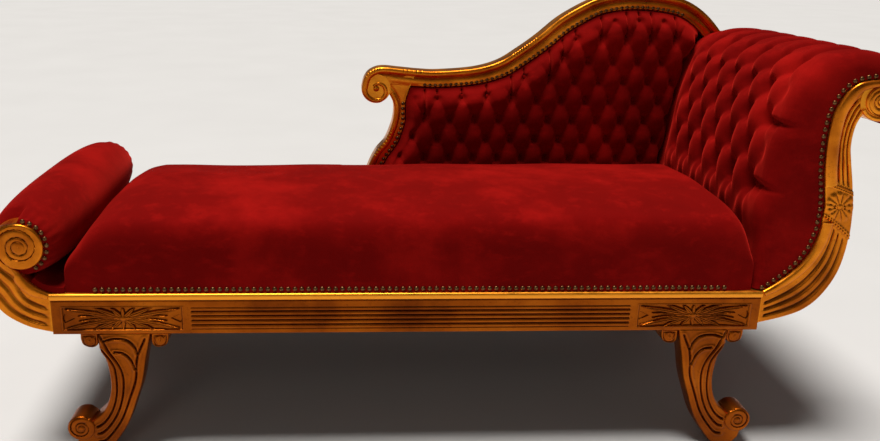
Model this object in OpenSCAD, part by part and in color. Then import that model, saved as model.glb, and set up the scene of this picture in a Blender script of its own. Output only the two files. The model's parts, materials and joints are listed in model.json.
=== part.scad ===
// Gilded scroll-end fainting couch: a long seat, a rolled foot end, a deep-buttoned
// scrolled head end, and a part back under a moulded crest.
// Millimetres. X runs along the seat to the head end, Y to the back, Z up.
// The origin is on the floor, under the middle of the couch.

/* [Overall] */
// Length of the straight seat rails between the scroll arms
seat_l = 1500; // [1300:10:1700]
// Depth over the front bead and the back covers
frame_d = 655; // [600:5:720]
// Height of the legs, from the floor to the underside of the rails
leg_h = 280; // [220:5:340]

/* [Seat rails] */
// Height of the carved rails, bead included
rail_h = 92; // [80:1:110]
// Thickness of the rails and of the scroll boards
board_t = 45; // [36:1:54]
// Width of the gilded bead
bead_w = 15; // [10:1:20]
// How far the bead stands proud of the boards
bead_proud = 5; // [3:0.5:8]
// Length of each sunk rail panel
panel_l = 245; // [200:5:270]
// Height of each sunk rail panel
panel_h = 51; // [40:1:56]
// Depth of the sunk panels and of the reeded field
panel_sink = 4; // [2:0.5:6]
// Number of reeds along the front rail
reed_n = 5; // [3:1:7]
// Thickness of the end rails and cross braces
brace_t = 30; // [22:1:40]

/* [Foot end] */
// How far the foot arm reaches out from the rail end
foot_reach = 134; // [115:1:160]
// Height of the foot scroll above the underside of the rail
foot_rise = 244; // [220:1:280]
// Radius of the foot scroll disc
foot_disc_r = 49; // [42:1:54]
// Distance of the foot scroll centre out from the rail end
foot_disc_out = 51; // [46:1:58]
// Largest radius of the crowned foot roll
foot_roll_r = 86; // [78:1:92]

/* [Head end] */
// How far the head arm reaches out from the rail end
head_reach = 230; // [200:1:260]
// Height of the head scroll above the underside of the rail
head_rise = 552; // [500:1:600]
// Radius of the head scroll disc
head_disc_r = 43; // [38:1:48]
// How far the padding passes the head scroll
head_pad_out = 16; // [12:1:22]

/* [Legs] */
// Thickness of each leg, front to back
leg_t = 46; // [36:1:50]
// Distance of the foot end's leg centres in from the rail end
leg_in = 144; // [125:1:160]
// Distance of the head end's leg centres in from the rail end
head_leg_in = 118; // [105:1:150]
// Width of the leg where it meets the rail
leg_top_w = 108; // [94:1:120]
// How far the foot scroll centre kicks out from the leg centre
leg_kick = 104; // [90:1:120]
// Radius of the foot scroll
toe_r = 29; // [25:1:32]
// Width of the small scrolled ear on each side of a leg
ear_w = 35; // [26:1:42]
// Depth of the ears below the rail
ear_h = 31; // [24:1:38]

/* [Back] */
// Distance of the back's end scroll from the middle of the seat
back_start = 104; // [60:2:160]
// Height of the low end of the crest above the underside of the rail
crest_low = 470; // [440:2:500]
// How much higher the crest rises at its hump
crest_rise = 215; // [180:2:240]
// Width of the crest's face
crest_w = 45; // [38:1:52]
// Radius of the scroll at the end of the crest
crest_disc_r = 40; // [34:1:44]

/* [Upholstery] */
// Height of the seat crown above the underside of the rail
seat_crown = 270; // [250:2:300]
// Gap between the rail's foot end and the seat cushion
seat_foot_gap = 30; // [24:1:40]
// Height of the loose seat frame's bars
bar_h = 22; // [18:1:28]
// Width of the loose seat frame's bars
bar_w = 45; // [36:1:50]
// Spacing of the buttons across the back
back_tuft_w = 67; // [60:1:76]
// Height between two rows of buttons in the back
back_tuft_h = 54; // [48:1:60]
// How far the back cushion's crown stands in front of the crest
back_pad_t = 42; // [34:1:50]
// Diameter of the covered buttons
button_d = 18; // [14:1:22]

/* [Fixings] */
// Diameter of an upholstery nail's head
nail_d = 10; // [8:0.5:12]
// Height of an upholstery nail's head
nail_h = 3; // [2:0.5:4]
// Spacing of the nails along the front
nail_pitch = 14; // [13:0.5:20]
// Spacing of the nails along the back
rear_nail_pitch = 28; // [20:1:40]
// Diameter of the wooden dowels
dowel_d = 12; // [8:1:16]
// Length of the wooden dowels
dowel_l = 56; // [40:2:70]
// Diameter of the corner block screws
screw_d = 5; // [4:0.5:6]

/* [Hidden] */
// Clearance between soft solids and their neighbours
soft_gap = 0.3;
// Clearance of a dowel or screw in its hole
fit_gap = 0.1;
// Overrun of every cut
over = 1;
// Steps in each span of a smooth outline
SPAN = 5;
$fn = 48;
mid_x = (foot_disc_out + foot_roll_r - head_reach - head_pad_out) / 2;
foot_x = mid_x - seat_l / 2;
head_x = mid_x + seat_l / 2;
rail_top = leg_h + rail_h;
front_y = -frame_d / 2;
face_y = front_y + bead_proud;
board_in_y = face_y + board_t;
rear_sheet = 3;
back_y = frame_d / 2 - rear_sheet;
back_in_y = back_y - board_t;
inner_d = back_in_y - board_in_y;
GOLD = "goldenrod";
DARK_GOLD = "sienna";
VELVET = "crimson";
RAW_WOOD = "burlywood";

// Smooth curves through hand-placed points
function spline(a, b, c, d, t) =
    0.5 * (2 * b + (c - a) * t + (2 * a - 5 * b + 4 * c - d) * t * t
    + (3 * b - a - 3 * c + d) * t * t * t);
function smooth(p, n = SPAN) = [
    for (i = [0 : len(p) - 2])
        for (k = [0 : n - 1])
            spline(p[max(i - 1, 0)], p[i], p[i + 1], p[min(i + 2, len(p) - 1)], k / n),
    p[len(p) - 1]
];
function scaled(shares, w, h) = [for (s = shares) [s[0] * w, s[1] * h]];
function reversed(p) = [for (i = [len(p) - 1 : -1 : 0]) p[i]];
function run(p, i) = p[min(i + 1, len(p) - 1)] - p[max(i - 1, 0)];
// Unit normal on the left of the direction of travel
function normal(p, i) = let (r = run(p, i)) [-r[1], r[0]] / norm(r);
function moved(p, d) = [for (i = [0 : len(p) - 1]) p[i] + normal(p, i) * d];
function band(p, d0, d1) = concat(moved(p, d0), reversed(moved(p, d1)));
function length(p, i = 1, sum = 0) = i < len(p) ? length(p, i + 1, sum + norm(p[i] - p[i - 1])) : sum;
// The place and the normal at a length along a path
function at(p, s, i = 0) =
    let (d = norm(p[i + 1] - p[i]))
    (s <= d || i >= len(p) - 2) ? p[i] + (p[i + 1] - p[i]) * s / d : at(p, s - d, i + 1);
function side_at(p, s, i = 0) =
    let (d = norm(p[i + 1] - p[i]))
    (s <= d || i >= len(p) - 2) ? normal([p[i], p[i + 1]], 0) : side_at(p, s - d, i + 1);
function arc(c, r, a0, a1, n) =
    [for (k = [0 : n]) let (a = a0 + (a1 - a0) * k / n) c + r * [cos(a), sin(a)]];
// The height of a path at x, for a path that runs to the right
function height(p, x, i = 0) =
    (x <= p[i + 1][0] || i >= len(p) - 2)
    ? p[i][1] + (p[i + 1][1] - p[i][1]) * (x - p[i][0]) / (p[i + 1][0] - p[i][0])
    : height(p, x, i + 1);
function ramp(t) = t <= 0 ? 0 : t >= 1 ? 1 : t * t * (3 - 2 * t);

// Outlines of the foot arm, outward from the rail end and up from the rail's underside
foot_outer_shares = [[0, 0.02], [0.33, 0.067], [0.61, 0.15], [0.77, 0.235], [0.9, 0.36], [0.98, 0.51],
    [0.99, 0.66], [0.93, 0.8], [0.79, 0.91], [0.6, 0.978], [0.38, 0.985]];
foot_inner_shares = [[0, 0.38], [0.15, 0.425], [0.27, 0.48], [0.35, 0.535], [0.42, 0.585], [0.56, 0.63]];
foot_outer = smooth(scaled(foot_outer_shares, foot_reach, foot_rise));
foot_inner = smooth(scaled(foot_inner_shares, foot_reach, foot_rise));
foot_centre = [foot_disc_out, foot_rise - foot_disc_r];

// Outlines of the head arm, measured the same way
head_outer_shares = [[0, 0.03], [0.25, 0.056], [0.43, 0.088], [0.574, 0.145], [0.69, 0.235], [0.74, 0.34],
    [0.742, 0.455], [0.705, 0.58], [0.645, 0.69], [0.617, 0.755], [0.632, 0.83], [0.7, 0.89]];
head_inner_shares = [[0, 0.17], [0.096, 0.195], [0.226, 0.237], [0.335, 0.285], [0.41, 0.34],
    [0.452, 0.402], [0.466, 0.471], [0.455, 0.545], [0.42, 0.62], [0.398, 0.69], [0.387, 0.779],
    [0.404, 0.868], [0.452, 0.922], [0.52, 0.964], [0.62, 0.991], [0.81, 1]];
head_outer = smooth(scaled(head_outer_shares, head_reach, head_rise));
head_inner = smooth(scaled(head_inner_shares, head_reach, head_rise));
head_centre = [head_reach - head_disc_r, head_rise - head_disc_r - fit_gap];

// Leg outline: shares of the top width and of the kick outward, and of the leg's height up
leg_outer_shares = [[0.5, 0, 0], [0.5, 0, -0.11], [0.4, 0, -0.2], [0.352, 0, -0.29], [0.33, 0, -0.42],
    [0.3, 0.085, -0.54], [0.2, 0.3, -0.635], [0.15, 0.5, -0.69], [0.1, 0.68, -0.735]];
leg_inner_shares = [[-0.5, 0, 0], [-0.475, 0, -0.06], [-0.39, 0, -0.2], [-0.3, 0, -0.385],
    [-0.2, 0.02, -0.53], [-0.1, 0.16, -0.77], [0, 0.4, -0.96], [0, 0.52, -1]];
leg_sole_shares = [[0, 0.96, -1], [0, 1.07, -0.955], [0, 1.12, -0.88]];
toe_z_share = 0.786;
function leg_points(shares) = [for (q = shares) [q[0] * leg_top_w + q[1] * leg_kick, q[2] * leg_h]];
// Crest, along from the back's end scroll and up from the crest's low height
crest_past = 128;
crest_l = seat_l / 2 + back_start + crest_past;
crest_shares = [[0.003, -0.23], [0.006, -0.115], [0.018, -0.03], [0.04, 0.025], [0.065, 0.038],
    [0.104, 0.022], [0.16, 0], [0.214, -0.005], [0.311, 0.035], [0.379, 0.125], [0.433, 0.28],
    [0.486, 0.46], [0.538, 0.665], [0.59, 0.815], [0.64, 0.925], [0.7, 0.985], [0.76, 1], [0.83, 0.975],
    [0.893, 0.905], [0.95, 0.74], [1, 0.5], [1.02, 0.36]];
crest_drop_share = 1.25;
CREST_FIRST = 6;
crest_all = smooth([for (s = crest_shares) [s[0] * crest_l - back_start, crest_low + s[1] * crest_rise]]);
crest_run = [for (i = [CREST_FIRST * SPAN : len(crest_all) - 1]) crest_all[i]];
crest_under = moved(crest_run, -crest_w);
crest_centre = [crest_disc_r - back_start, crest_low - crest_disc_r * crest_drop_share];

// Stile, as shares of the crest's low height
stile_outer_shares = [[-0.064, 0.868], [-0.036, 0.81], [-0.032, 0.745], [-0.047, 0.67], [-0.081, 0.585],
    [-0.13, 0.525], [-0.168, 0.453], [-0.196, 0.372], [-0.213, 0.3], [-0.217, 0.24]];
stile_inner_shares = [[0.06, 0.9], [0.037, 0.82], [0.036, 0.745], [0.034, 0.69], [-0.004, 0.574],
    [-0.072, 0.471], [-0.106, 0.383], [-0.123, 0.3], [-0.128, 0.24]];
stile_outer = smooth(scaled(stile_outer_shares, crest_low, crest_low));
stile_inner = smooth(scaled(stile_inner_shares, crest_low, crest_low));

// Places an upright board drawn in X and Z, from one depth to another
module upright(y0, y1) {
    translate([0, y1, 0])
        rotate([90, 0, 0])
            linear_extrude(y1 - y0)
                children();
}
// Moves a drawing from its own rail end into place
module at_foot() {
    translate([foot_x, 0, leg_h])
        mirror([1, 0, 0])
            children();
}
module at_head() {
    translate([head_x, 0, leg_h])
        children();
}
module at_middle() {
    translate([mid_x, 0, leg_h])
        children();
}

// A path with both of its ends cut back
function trimmed(p, d) =
    let (m = len(p) - 1, a = p[1] - p[0], b = p[m - 1] - p[m])
    [p[0] + a * d / norm(a), for (i = [1 : m - 1]) p[i], p[m] + b * d / norm(b)];
// A raised band with a stepped, rounded top, from a path to the right of it
bead_layers = 3;
bead_end_share = 0.5;
module bead(path, width) {
    for (k = [1 : bead_layers]) {
        inset = width / 2 * (1 - sqrt(1 - pow((k - 1) / bead_layers, 2)));
        upright(face_y - bead_proud * k / bead_layers, face_y + over)
            polygon(band(trimmed(path, inset * bead_end_share), -inset, inset - width));
    }
}
// A flat spiral ridge on a scroll's face, with its eye
spiral_turns = 2;
spiral_steps = 56;
spiral_w_share = 0.13;
spiral_out_share = 0.8;
spiral_in_share = 0.28;
eye_share = 0.22;
function spiral(c, r, a0, way) = [
    for (k = [0 : spiral_steps])
        let (t = k / spiral_steps, a = a0 + way * 360 * spiral_turns * t)
        c + r * (spiral_out_share + (spiral_in_share - spiral_out_share) * t) * [cos(a), sin(a)]
];
module volute(c, r, a0, way) {
    w = r * spiral_w_share;
    upright(face_y - bead_proud / 2, face_y + over)
        polygon(band(spiral(c, r, a0, way), w / 2, -w / 2));
    upright(face_y - bead_proud, face_y + over)
        translate(c)
            circle(r * eye_share);
}
// Grooves that run along an arm, from one share of its length to another
flute_n = 3;
flute_w = 4;
module flutes(path, first, pitch, from, to) {
    last = len(path) - 1;
    part = [for (i = [round(last * from) : round(last * to)]) path[i]];
    for (k = [0 : flute_n - 1]) {
        upright(face_y - over, face_y + panel_sink)
            polygon(band(part, first + pitch * k, first + pitch * k + flute_w));
    }
}

// Dowels between rails and arms, and between legs and rails
dowel_low_share = 0.33;
dowel_high_share = 0.72;
dowel_zs = [leg_h + rail_h * dowel_low_share, leg_h + rail_h * dowel_high_share];
module rail_dowel_set(clear) {
    for (x = [foot_x, head_x], y = [face_y + board_t / 2, back_y - board_t / 2], z = dowel_zs) {
        translate([x - dowel_l / 2 - clear, y, z])
            rotate([0, 90, 0])
                cylinder(h = dowel_l + 2 * clear, d = dowel_d + 2 * clear);
    }
}
leg_xs = [foot_x + leg_in, head_x - head_leg_in];
leg_ys = [face_y + board_t / 2, back_y - board_t / 2];
leg_dowel_apart = leg_top_w * 0.45;
module leg_dowel_set(clear) {
    for (x = leg_xs, y = leg_ys, s = [-1, 1]) {
        translate([x + s * leg_dowel_apart / 2, y, leg_h - dowel_l / 2 - clear])
            cylinder(h = dowel_l + 2 * clear, d = dowel_d + 2 * clear);
    }
}
module rail_dowels() {
    color(RAW_WOOD) rail_dowel_set(0);
}
module leg_dowels() {
    color(RAW_WOOD) leg_dowel_set(0);
}

// Carved front rail: a bead, two sunk panels with a flower of long leaves, and reeds between
panel_low = 10;
panel_z = leg_h + panel_low;
panel_in = 144;
reed_end_gap = 17;
reed_share = 1.08;
reed_in_share = 0.08;
leaf_t = 3;
leaf_steps = 8;
flower_r = 6;
leaf_root_r = 3;
function leaf(l, w) = [
    for (k = [0 : leaf_steps]) [l * k / leaf_steps, w / 2 * sin(180 * k / leaf_steps)],
    for (k = [leaf_steps - 1 : -1 : 1]) [l * k / leaf_steps, -w / 2 * sin(180 * k / leaf_steps)]
];
long_leaf_share = 0.44;
leaf_w_share = 0.17;
leaf_angles = [8, 20];
module panel_flower(x) {
    floor_y = face_y + panel_sink;
    leaf_w = panel_h * leaf_w_share;
    translate([x, 0, panel_z + panel_h / 2]) {
        upright(floor_y - leaf_t, floor_y) {
            for (side = [0, 180], up = [-1, 1], a = leaf_angles) {
                rotate(side + up * a)
                    translate([leaf_root_r, 0])
                        polygon(leaf(panel_l * long_leaf_share - leaf_root_r * a / leaf_angles[0], leaf_w));
            }
            for (a = [90, 270]) {
                rotate(a)
                    translate([leaf_root_r, 0])
                        polygon(leaf(panel_h / 2 - leaf_root_r - leaf_t, leaf_w));
            }
        }
        upright(floor_y - panel_sink, floor_y)
            circle(flower_r);
    }
}
module front_seat_rail() {
    panel_xs = [foot_x + panel_in, head_x - panel_in];
    reed_x0 = panel_xs[0] + panel_l / 2 + reed_end_gap;
    reed_l = panel_xs[1] - panel_xs[0] - panel_l - 2 * reed_end_gap;
    reed_pitch = panel_h / reed_n;
    color(DARK_GOLD) {
        difference() {
            translate([foot_x, face_y, leg_h])
                cube([seat_l, board_t, rail_h]);
            for (x = panel_xs) {
                translate([x - panel_l / 2, face_y - over, panel_z])
                    cube([panel_l, panel_sink + over, panel_h]);
            }
            translate([reed_x0, face_y - over, panel_z])
                cube([reed_l, panel_sink + over, panel_h]);
            rail_dowel_set(fit_gap);
            leg_dowel_set(fit_gap);
            screws(fit_gap);
        }
        intersection() {
            translate([reed_x0, face_y - bead_proud, panel_z + reed_pitch * reed_in_share])
                cube([reed_l, 2 * bead_proud + panel_sink, panel_h - 2 * reed_pitch * reed_in_share]);
            for (k = [0 : reed_n - 1]) {
                translate([reed_x0, face_y + panel_sink, panel_z + reed_pitch * (k + 0.5)])
                    rotate([0, 90, 0])
                        cylinder(h = reed_l, d = reed_pitch * reed_share);
            }
        }
        for (x = panel_xs) panel_flower(x);
        at_middle() bead([[-seat_l / 2, rail_h], [0, rail_h], [seat_l / 2, rail_h]], bead_w);
    }
}
module back_seat_rail() {
    color(DARK_GOLD) difference() {
        translate([foot_x, back_in_y, leg_h])
            cube([seat_l, board_t, rail_h]);
        rail_dowel_set(fit_gap);
        leg_dowel_set(fit_gap);
        screws(fit_gap);
    }
}
module end_rail(x) {
    difference() {
        translate([x, board_in_y, leg_h])
            cube([brace_t, inner_d, rail_h]);
        screws(fit_gap);
    }
}
module foot_end_rail() {
    color(RAW_WOOD) end_rail(foot_x);
}
module head_end_rail() {
    color(RAW_WOOD) end_rail(head_x - brace_t);
}
brace_n = 3;
brace_h_share = 0.6;
module seat_cross_braces() {
    brace_h = rail_h * brace_h_share;
    color(RAW_WOOD) for (k = [1 : brace_n]) {
        translate([foot_x + seat_l * k / (brace_n + 1) - brace_t / 2, board_in_y, rail_top - brace_h])
            cube([brace_t, inner_d, brace_h]);
    }
}
// Triangular glue blocks in the four corners of the seat rails, each with two screws
block_leg = 70;
block_h_share = 0.55;
block_z = leg_h + rail_h * (1 - block_h_share) / 2;
function corners() = [
    [foot_x + brace_t, board_in_y, 1, 1], [head_x - brace_t, board_in_y, -1, 1],
    [foot_x + brace_t, back_in_y, 1, -1], [head_x - brace_t, back_in_y, -1, -1]
];
screw_l = 50;
screw_near_share = 0.28;
screw_far_share = 0.62;
screw_head_d = 2 * screw_d;
screw_z = block_z + rail_h * block_h_share / 2;
module screws(clear) {
    for (c = corners(), across = [0, 1]) {
        along = block_leg * (across ? screw_near_share : screw_far_share);
        deep = block_leg * (across ? screw_far_share : screw_near_share);
        translate([c[0] + c[2] * along, c[1] + c[3] * deep, screw_z])
            rotate(across ? [0, -90 * c[2], 0] : [90 * c[3], 0, 0])
                translate([0, 0, -screw_d]) {
                    cylinder(h = screw_l + clear, d = screw_d + 2 * clear);
                    translate([0, 0, -screw_d])
                        cylinder(h = screw_d, d = screw_head_d + 2 * clear);
                    if (clear > 0) {
                        translate([0, 0, -block_leg])
                            cylinder(h = block_leg, d = screw_head_d + 2 * clear);
                    }
                }
    }
}
module corner_blocks() {
    color(RAW_WOOD) difference() {
        for (c = corners()) {
            translate([c[0], c[1], block_z])
                linear_extrude(rail_h * block_h_share)
                    polygon([[0, 0], [c[2] * block_leg, 0], [0, c[3] * block_leg]]);
        }
        screws(fit_gap);
    }
}
module corner_block_screws() {
    color("gray") screws(0);
}

// Scroll arms of the foot end
module foot_board() {
    polygon(concat(foot_outer, [foot_centre], reversed(foot_inner)));
    translate(foot_centre)
        circle(foot_disc_r);
}
foot_flute_in = foot_reach * 0.07;
foot_flute_pitch = foot_reach * 0.11;
foot_flute_end_share = 0.6;
FOOT_VOLUTE_ANGLE = 200;
HEAD_VOLUTE_ANGLE = 120;
module front_foot_arm() {
    color(GOLD) {
        difference() {
            at_foot() upright(face_y, board_in_y) foot_board();
            at_foot()
                flutes(foot_outer, foot_flute_in, foot_flute_pitch, 0, foot_flute_end_share);
            rail_dowel_set(fit_gap);
        }
        at_foot() {
            bead([for (i = [0 : len(foot_inner) - 3]) foot_inner[i]], bead_w);
            volute(foot_centre, foot_disc_r, FOOT_VOLUTE_ANGLE, -1);
        }
    }
}
module back_foot_arm() {
    color(GOLD) difference() {
        at_foot() upright(back_in_y, back_y) foot_board();
        rail_dowel_set(fit_gap);
    }
}

// Scroll arms of the head end, with a carved block part way up
block_low_share = 0.46;
block_high_share = 0.64;
head_flute_in = head_reach * 0.04;
head_flute_pitch = head_reach * 0.055;
head_flute_end_share = 0.93;
module head_board() {
    polygon(concat(head_outer, [head_centre], [for (i = [len(head_inner) - 2 : -1 : 0]) head_inner[i]]));
    translate(head_centre)
        circle(head_disc_r);
}
module front_head_arm() {
    color(GOLD) {
        difference() {
            at_head() upright(face_y, board_in_y) head_board();
            for (s = [[0, block_low_share], [block_high_share, head_flute_end_share]]) {
                at_head() flutes(head_outer, head_flute_in, head_flute_pitch, s[0], s[1]);
            }
            rail_dowel_set(fit_gap);
        }
        at_head() {
            bead(head_inner, bead_w);
            volute(head_centre, head_disc_r, HEAD_VOLUTE_ANGLE, -1);
        }
    }
}
module back_head_arm() {
    color(GOLD) difference() {
        at_head() upright(back_in_y, back_y) head_board();
        rail_dowel_set(fit_gap);
    }
}

// Sabre legs that kick out to a scrolled toe with a flat sole
toe = [leg_kick, -toe_z_share * leg_h];
module leg_outline() {
    outer = smooth(leg_points(leg_outer_shares));
    inner = smooth(leg_points(leg_inner_shares));
    polygon(concat(outer, [toe], reversed(leg_points(leg_sole_shares)), reversed(inner)));
}
module leg(x, y, way) {
    difference() {
        translate([x, y, leg_h])
            mirror([way < 0 ? 1 : 0, 0, 0]) {
                upright(-leg_t / 2, leg_t / 2)
                    leg_outline();
                upright(-leg_t / 2, leg_t / 2)
                    translate(toe)
                        circle(toe_r);
            }
        leg_dowel_set(fit_gap);
    }
}
module front_foot_leg() {
    color(DARK_GOLD) leg(leg_xs[0], leg_ys[0], -1);
}
module front_head_leg() {
    color(DARK_GOLD) leg(leg_xs[1], leg_ys[0], 1);
}
module back_foot_leg() {
    color(DARK_GOLD) leg(leg_xs[0], leg_ys[1], -1);
}
module back_head_leg() {
    color(DARK_GOLD) leg(leg_xs[1], leg_ys[1], 1);
}
ear_shares = [[0, 0], [0, 0.7], [0.2, 0.98], [0.55, 1], [0.88, 0.8], [1, 0.4], [1, 0]];
ear_t_share = 0.85;
ear_gap = 1.5;
module ears(y) {
    for (x = leg_xs, s = [-1, 1]) {
        translate([x, y, leg_h])
            mirror([s < 0 ? 1 : 0, 0, 0])
                upright(-leg_t * ear_t_share / 2, leg_t * ear_t_share / 2)
                    translate([leg_top_w / 2 + ear_gap, 0])
                        polygon(smooth(scaled(ear_shares, ear_w, -ear_h)));
    }
}
module front_leg_ears() {
    color(DARK_GOLD) ears(leg_ys[0]);
}
module back_leg_ears() {
    color(DARK_GOLD) ears(leg_ys[1]);
}

// A closed solid over rings of points that all have the same count
module skin(rings) {
    n = len(rings[0]);
    m = len(rings);
    sides = [
        for (j = [0 : m - 2], i = [0 : n - 1])
            let (a = j * n + i, b = j * n + (i + 1) % n)
            each [[a, b, b + n], [a, b + n, a + n]]
    ];
    ends = [[for (i = [n - 1 : -1 : 0]) i], [for (i = [0 : n - 1]) (m - 1) * n + i]];
    polyhedron([for (r = rings) each r], concat(sides, ends), convexity = 6);
}

// A closed solid between two grids of points of the same size, joined round the rim
module quilt(face, back) {
    m = len(face);
    n = len(face[0]);
    far = m * n * [1, 1, 1];
    top = [
        for (i = [0 : m - 2], j = [0 : n - 2])
            let (a = i * n + j)
            each (i + j) % 2
                ? [[a, a + n + 1, a + n], [a, a + 1, a + n + 1]]
                : [[a, a + 1, a + n], [a + 1, a + n + 1, a + n]]
    ];
    rim = concat([for (i = [0 : m - 1]) i * n], [for (j = [1 : n - 1]) (m - 1) * n + j],
        [for (i = [m - 2 : -1 : 0]) i * n + n - 1], [for (j = [n - 2 : -1 : 1]) j]);
    side = [
        for (k = [0 : len(rim) - 1])
            let (a = rim[k], b = rim[(k + 1) % len(rim)])
            each [[a, b, b + m * n], [a, b + m * n, a + m * n]]
    ];
    under = [for (t = top) [t[2], t[1], t[0]] + far];
    polyhedron([for (r = face) each r, for (r = back) each r], concat(side, top, under), convexity = 6);
}

// Foot roll: a wooden core between the discs under a crowned velvet roll
roll_set = 2;
roll_y0 = face_y + roll_set;
roll_y1 = back_y - roll_set;
roll_stations = 14;
roll_sides = 32;
roll_margin = 10;
function roll_r(t) =
    let (edge = foot_disc_r + roll_margin)
    edge + (foot_roll_r - edge) * pow(1 - pow(abs(2 * t - 1), 3), 0.7);
module foot_roll_core() {
    color(RAW_WOOD) at_foot() upright(board_in_y, back_in_y)
        translate(foot_centre)
            circle(foot_disc_r);
}
module foot_roll_form() {
    skin([
        for (j = [0 : roll_stations])
            let (t = j / roll_stations, s = (1 - cos(180 * t)) / 2, y = roll_y0 + (roll_y1 - roll_y0) * s)
            [for (k = [0 : roll_sides - 1])
                let (a = 360 * k / roll_sides, p = foot_centre + roll_r(s) * [cos(a), sin(a)])
                [p[0], y, p[1]]]
    ]);
}
roll_clear_x = foot_reach + foot_roll_r;
roll_clear_z = foot_rise + foot_roll_r;
roll_clear = [[foot_disc_out, roll_clear_z], [roll_clear_x, roll_clear_z],
    [roll_clear_x, -over], [0, -over]];
module foot_roll_cover() {
    color(VELVET) at_foot() difference() {
        foot_roll_form();
        upright(roll_y0 - over, roll_y1 + over) {
            translate(foot_centre)
                circle(foot_disc_r + soft_gap);
        }
        for (y = [[roll_y0 - over, board_in_y + soft_gap], [back_in_y - soft_gap, roll_y1 + over]]) {
            upright(y[0], y[1])
                polygon(concat(moved(foot_outer, -soft_gap), roll_clear));
            upright(y[0], y[1])
                polygon(concat(foot_outer, [foot_centre], reversed(moved(foot_inner, soft_gap))));
        }
    }
}

// Padded strip over the end rail and up the inside of the foot arm
lining_t = 12;
module foot_inner_lining() {
    low = foot_inner[0][1];
    off = [-soft_gap, 2 * soft_gap];
    path = smooth([[soft_gap - seat_foot_gap, low + soft_gap], [-lining_t, low + soft_gap],
        foot_inner[SPAN - 1] + off, foot_inner[SPAN * 2] + off]);
    color(VELVET) at_foot() difference() {
        upright(roll_y0, roll_y1)
            polygon(band(path, 0, lining_t));
        upright(roll_y0 - over, roll_y1 + over)
            translate(foot_centre)
                circle(foot_roll_r + 2 * soft_gap);
    }
}
// Curved outside panels between the front and back arm boards
panel_set = 4;
outside_t = 6;
FOOT_PANEL_END = 4 * SPAN;
module foot_outside_cover() {
    part = [for (i = [1 : FOOT_PANEL_END]) foot_outer[i]];
    color(VELVET) at_foot() upright(board_in_y, back_in_y)
        polygon(band(part, panel_set, panel_set + outside_t));
}
HEAD_PANEL_END = 10 * SPAN;
module head_outside_cover() {
    part = [for (i = [1 : HEAD_PANEL_END]) head_outer[i]];
    color(VELVET) at_head() upright(board_in_y, back_in_y)
        polygon(band(part, panel_set, panel_set + outside_t));
}

// Head end: top rail, middle rail and lining board between the arm boards
lining_board_t = 8;
lining_board_gap = 3;
function by_height(p) = [for (q = p) [q[1], q[0]]];
module head_top_rail() {
    color(RAW_WOOD) at_head() upright(board_in_y, back_in_y)
        translate(head_centre)
            circle(head_disc_r);
}
middle_share = 0.5;
middle_h = 60;
middle_w = 24;
module head_middle_rail() {
    z = head_rise * middle_share;
    u = height(by_height(head_inner), z) + 2 * lining_board_t;
    color(RAW_WOOD) at_head() upright(board_in_y, back_in_y)
        translate([u, z - middle_h / 2])
            square([middle_w, middle_h]);
}
module head_lining_board() {
    color(RAW_WOOD) at_head() difference() {
        upright(board_in_y, back_in_y)
            polygon(band(head_inner, 0, -lining_board_t));
        upright(board_in_y - over, back_in_y + over)
            translate(head_centre)
                circle(head_disc_r + lining_board_gap);
    }
}

// Head end padding, in pairs of points: on the frame, and outside of the padding
head_pad_u = 22;
pad_gap = 1.5;
pad_inside = moved(head_inner, pad_gap);
head_pad_steps = [4, 9, 15, 20, 26, 32, 37, 42, 46, 51, 55, 59, 62, 65, 69, 72, 74];
head_pad_shares = [[-0.0955, 0.2], [-0.094, 0.27], [-0.089, 0.345], [-0.065, 0.42], [-0.037, 0.5],
    [-0.016, 0.57], [0, 0.63], [0.015, 0.69], [0.036, 0.755], [0.069, 0.818], [0.105, 0.876],
    [0.147, 0.93], [0.19, 0.968], [0.25, 1.005], [0.37, 1.046], [0.51, 1.064], [0.67, 1.067]];
head_pairs = let (
    c = head_centre, r = head_disc_r + pad_gap, e = head_disc_r + head_pad_out,
    w = head_reach, h = head_rise
) concat(
    [[[0, head_inner[0][1] + pad_gap], [-head_pad_u, head_inner[0][1] + pad_gap]]],
    [for (k = [0 : len(head_pad_steps) - 1])
        [pad_inside[head_pad_steps[k]], [head_pad_shares[k][0] * w, head_pad_shares[k][1] * h]]],
    [
        [c + r * [0.04, 1.06], [0.82 * w, 1.057 * h]],
        [c + r * [0.5, 0.93], c + e * [0.62, 0.9]],
        [c + r * [0.9, 0.54], c + e * [0.93, 0.5]],
        [c + r * [1.05, 0], c + e * [1, -0.02]],
        [c + r * [0.9, -0.54], c + e * [0.88, -0.5]],
        [c + r * [0.5, -0.93], c + e * [0.5, -0.86]]
    ]
);
head_tuft_first = 6;
head_tuft_rows = 5;
head_tuft_columns = 6;
HEAD_CROWN_END = 7;
head_puff = 16;
head_hole = 4;
head_bulge = 14;
head_front_t = 22;
head_cover_t = 30;
head_y0 = roll_y0;
head_y1 = back_in_y - soft_gap;
head_tuft_w = (head_y1 - head_y0) / (head_tuft_columns + 1.5);
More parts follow.
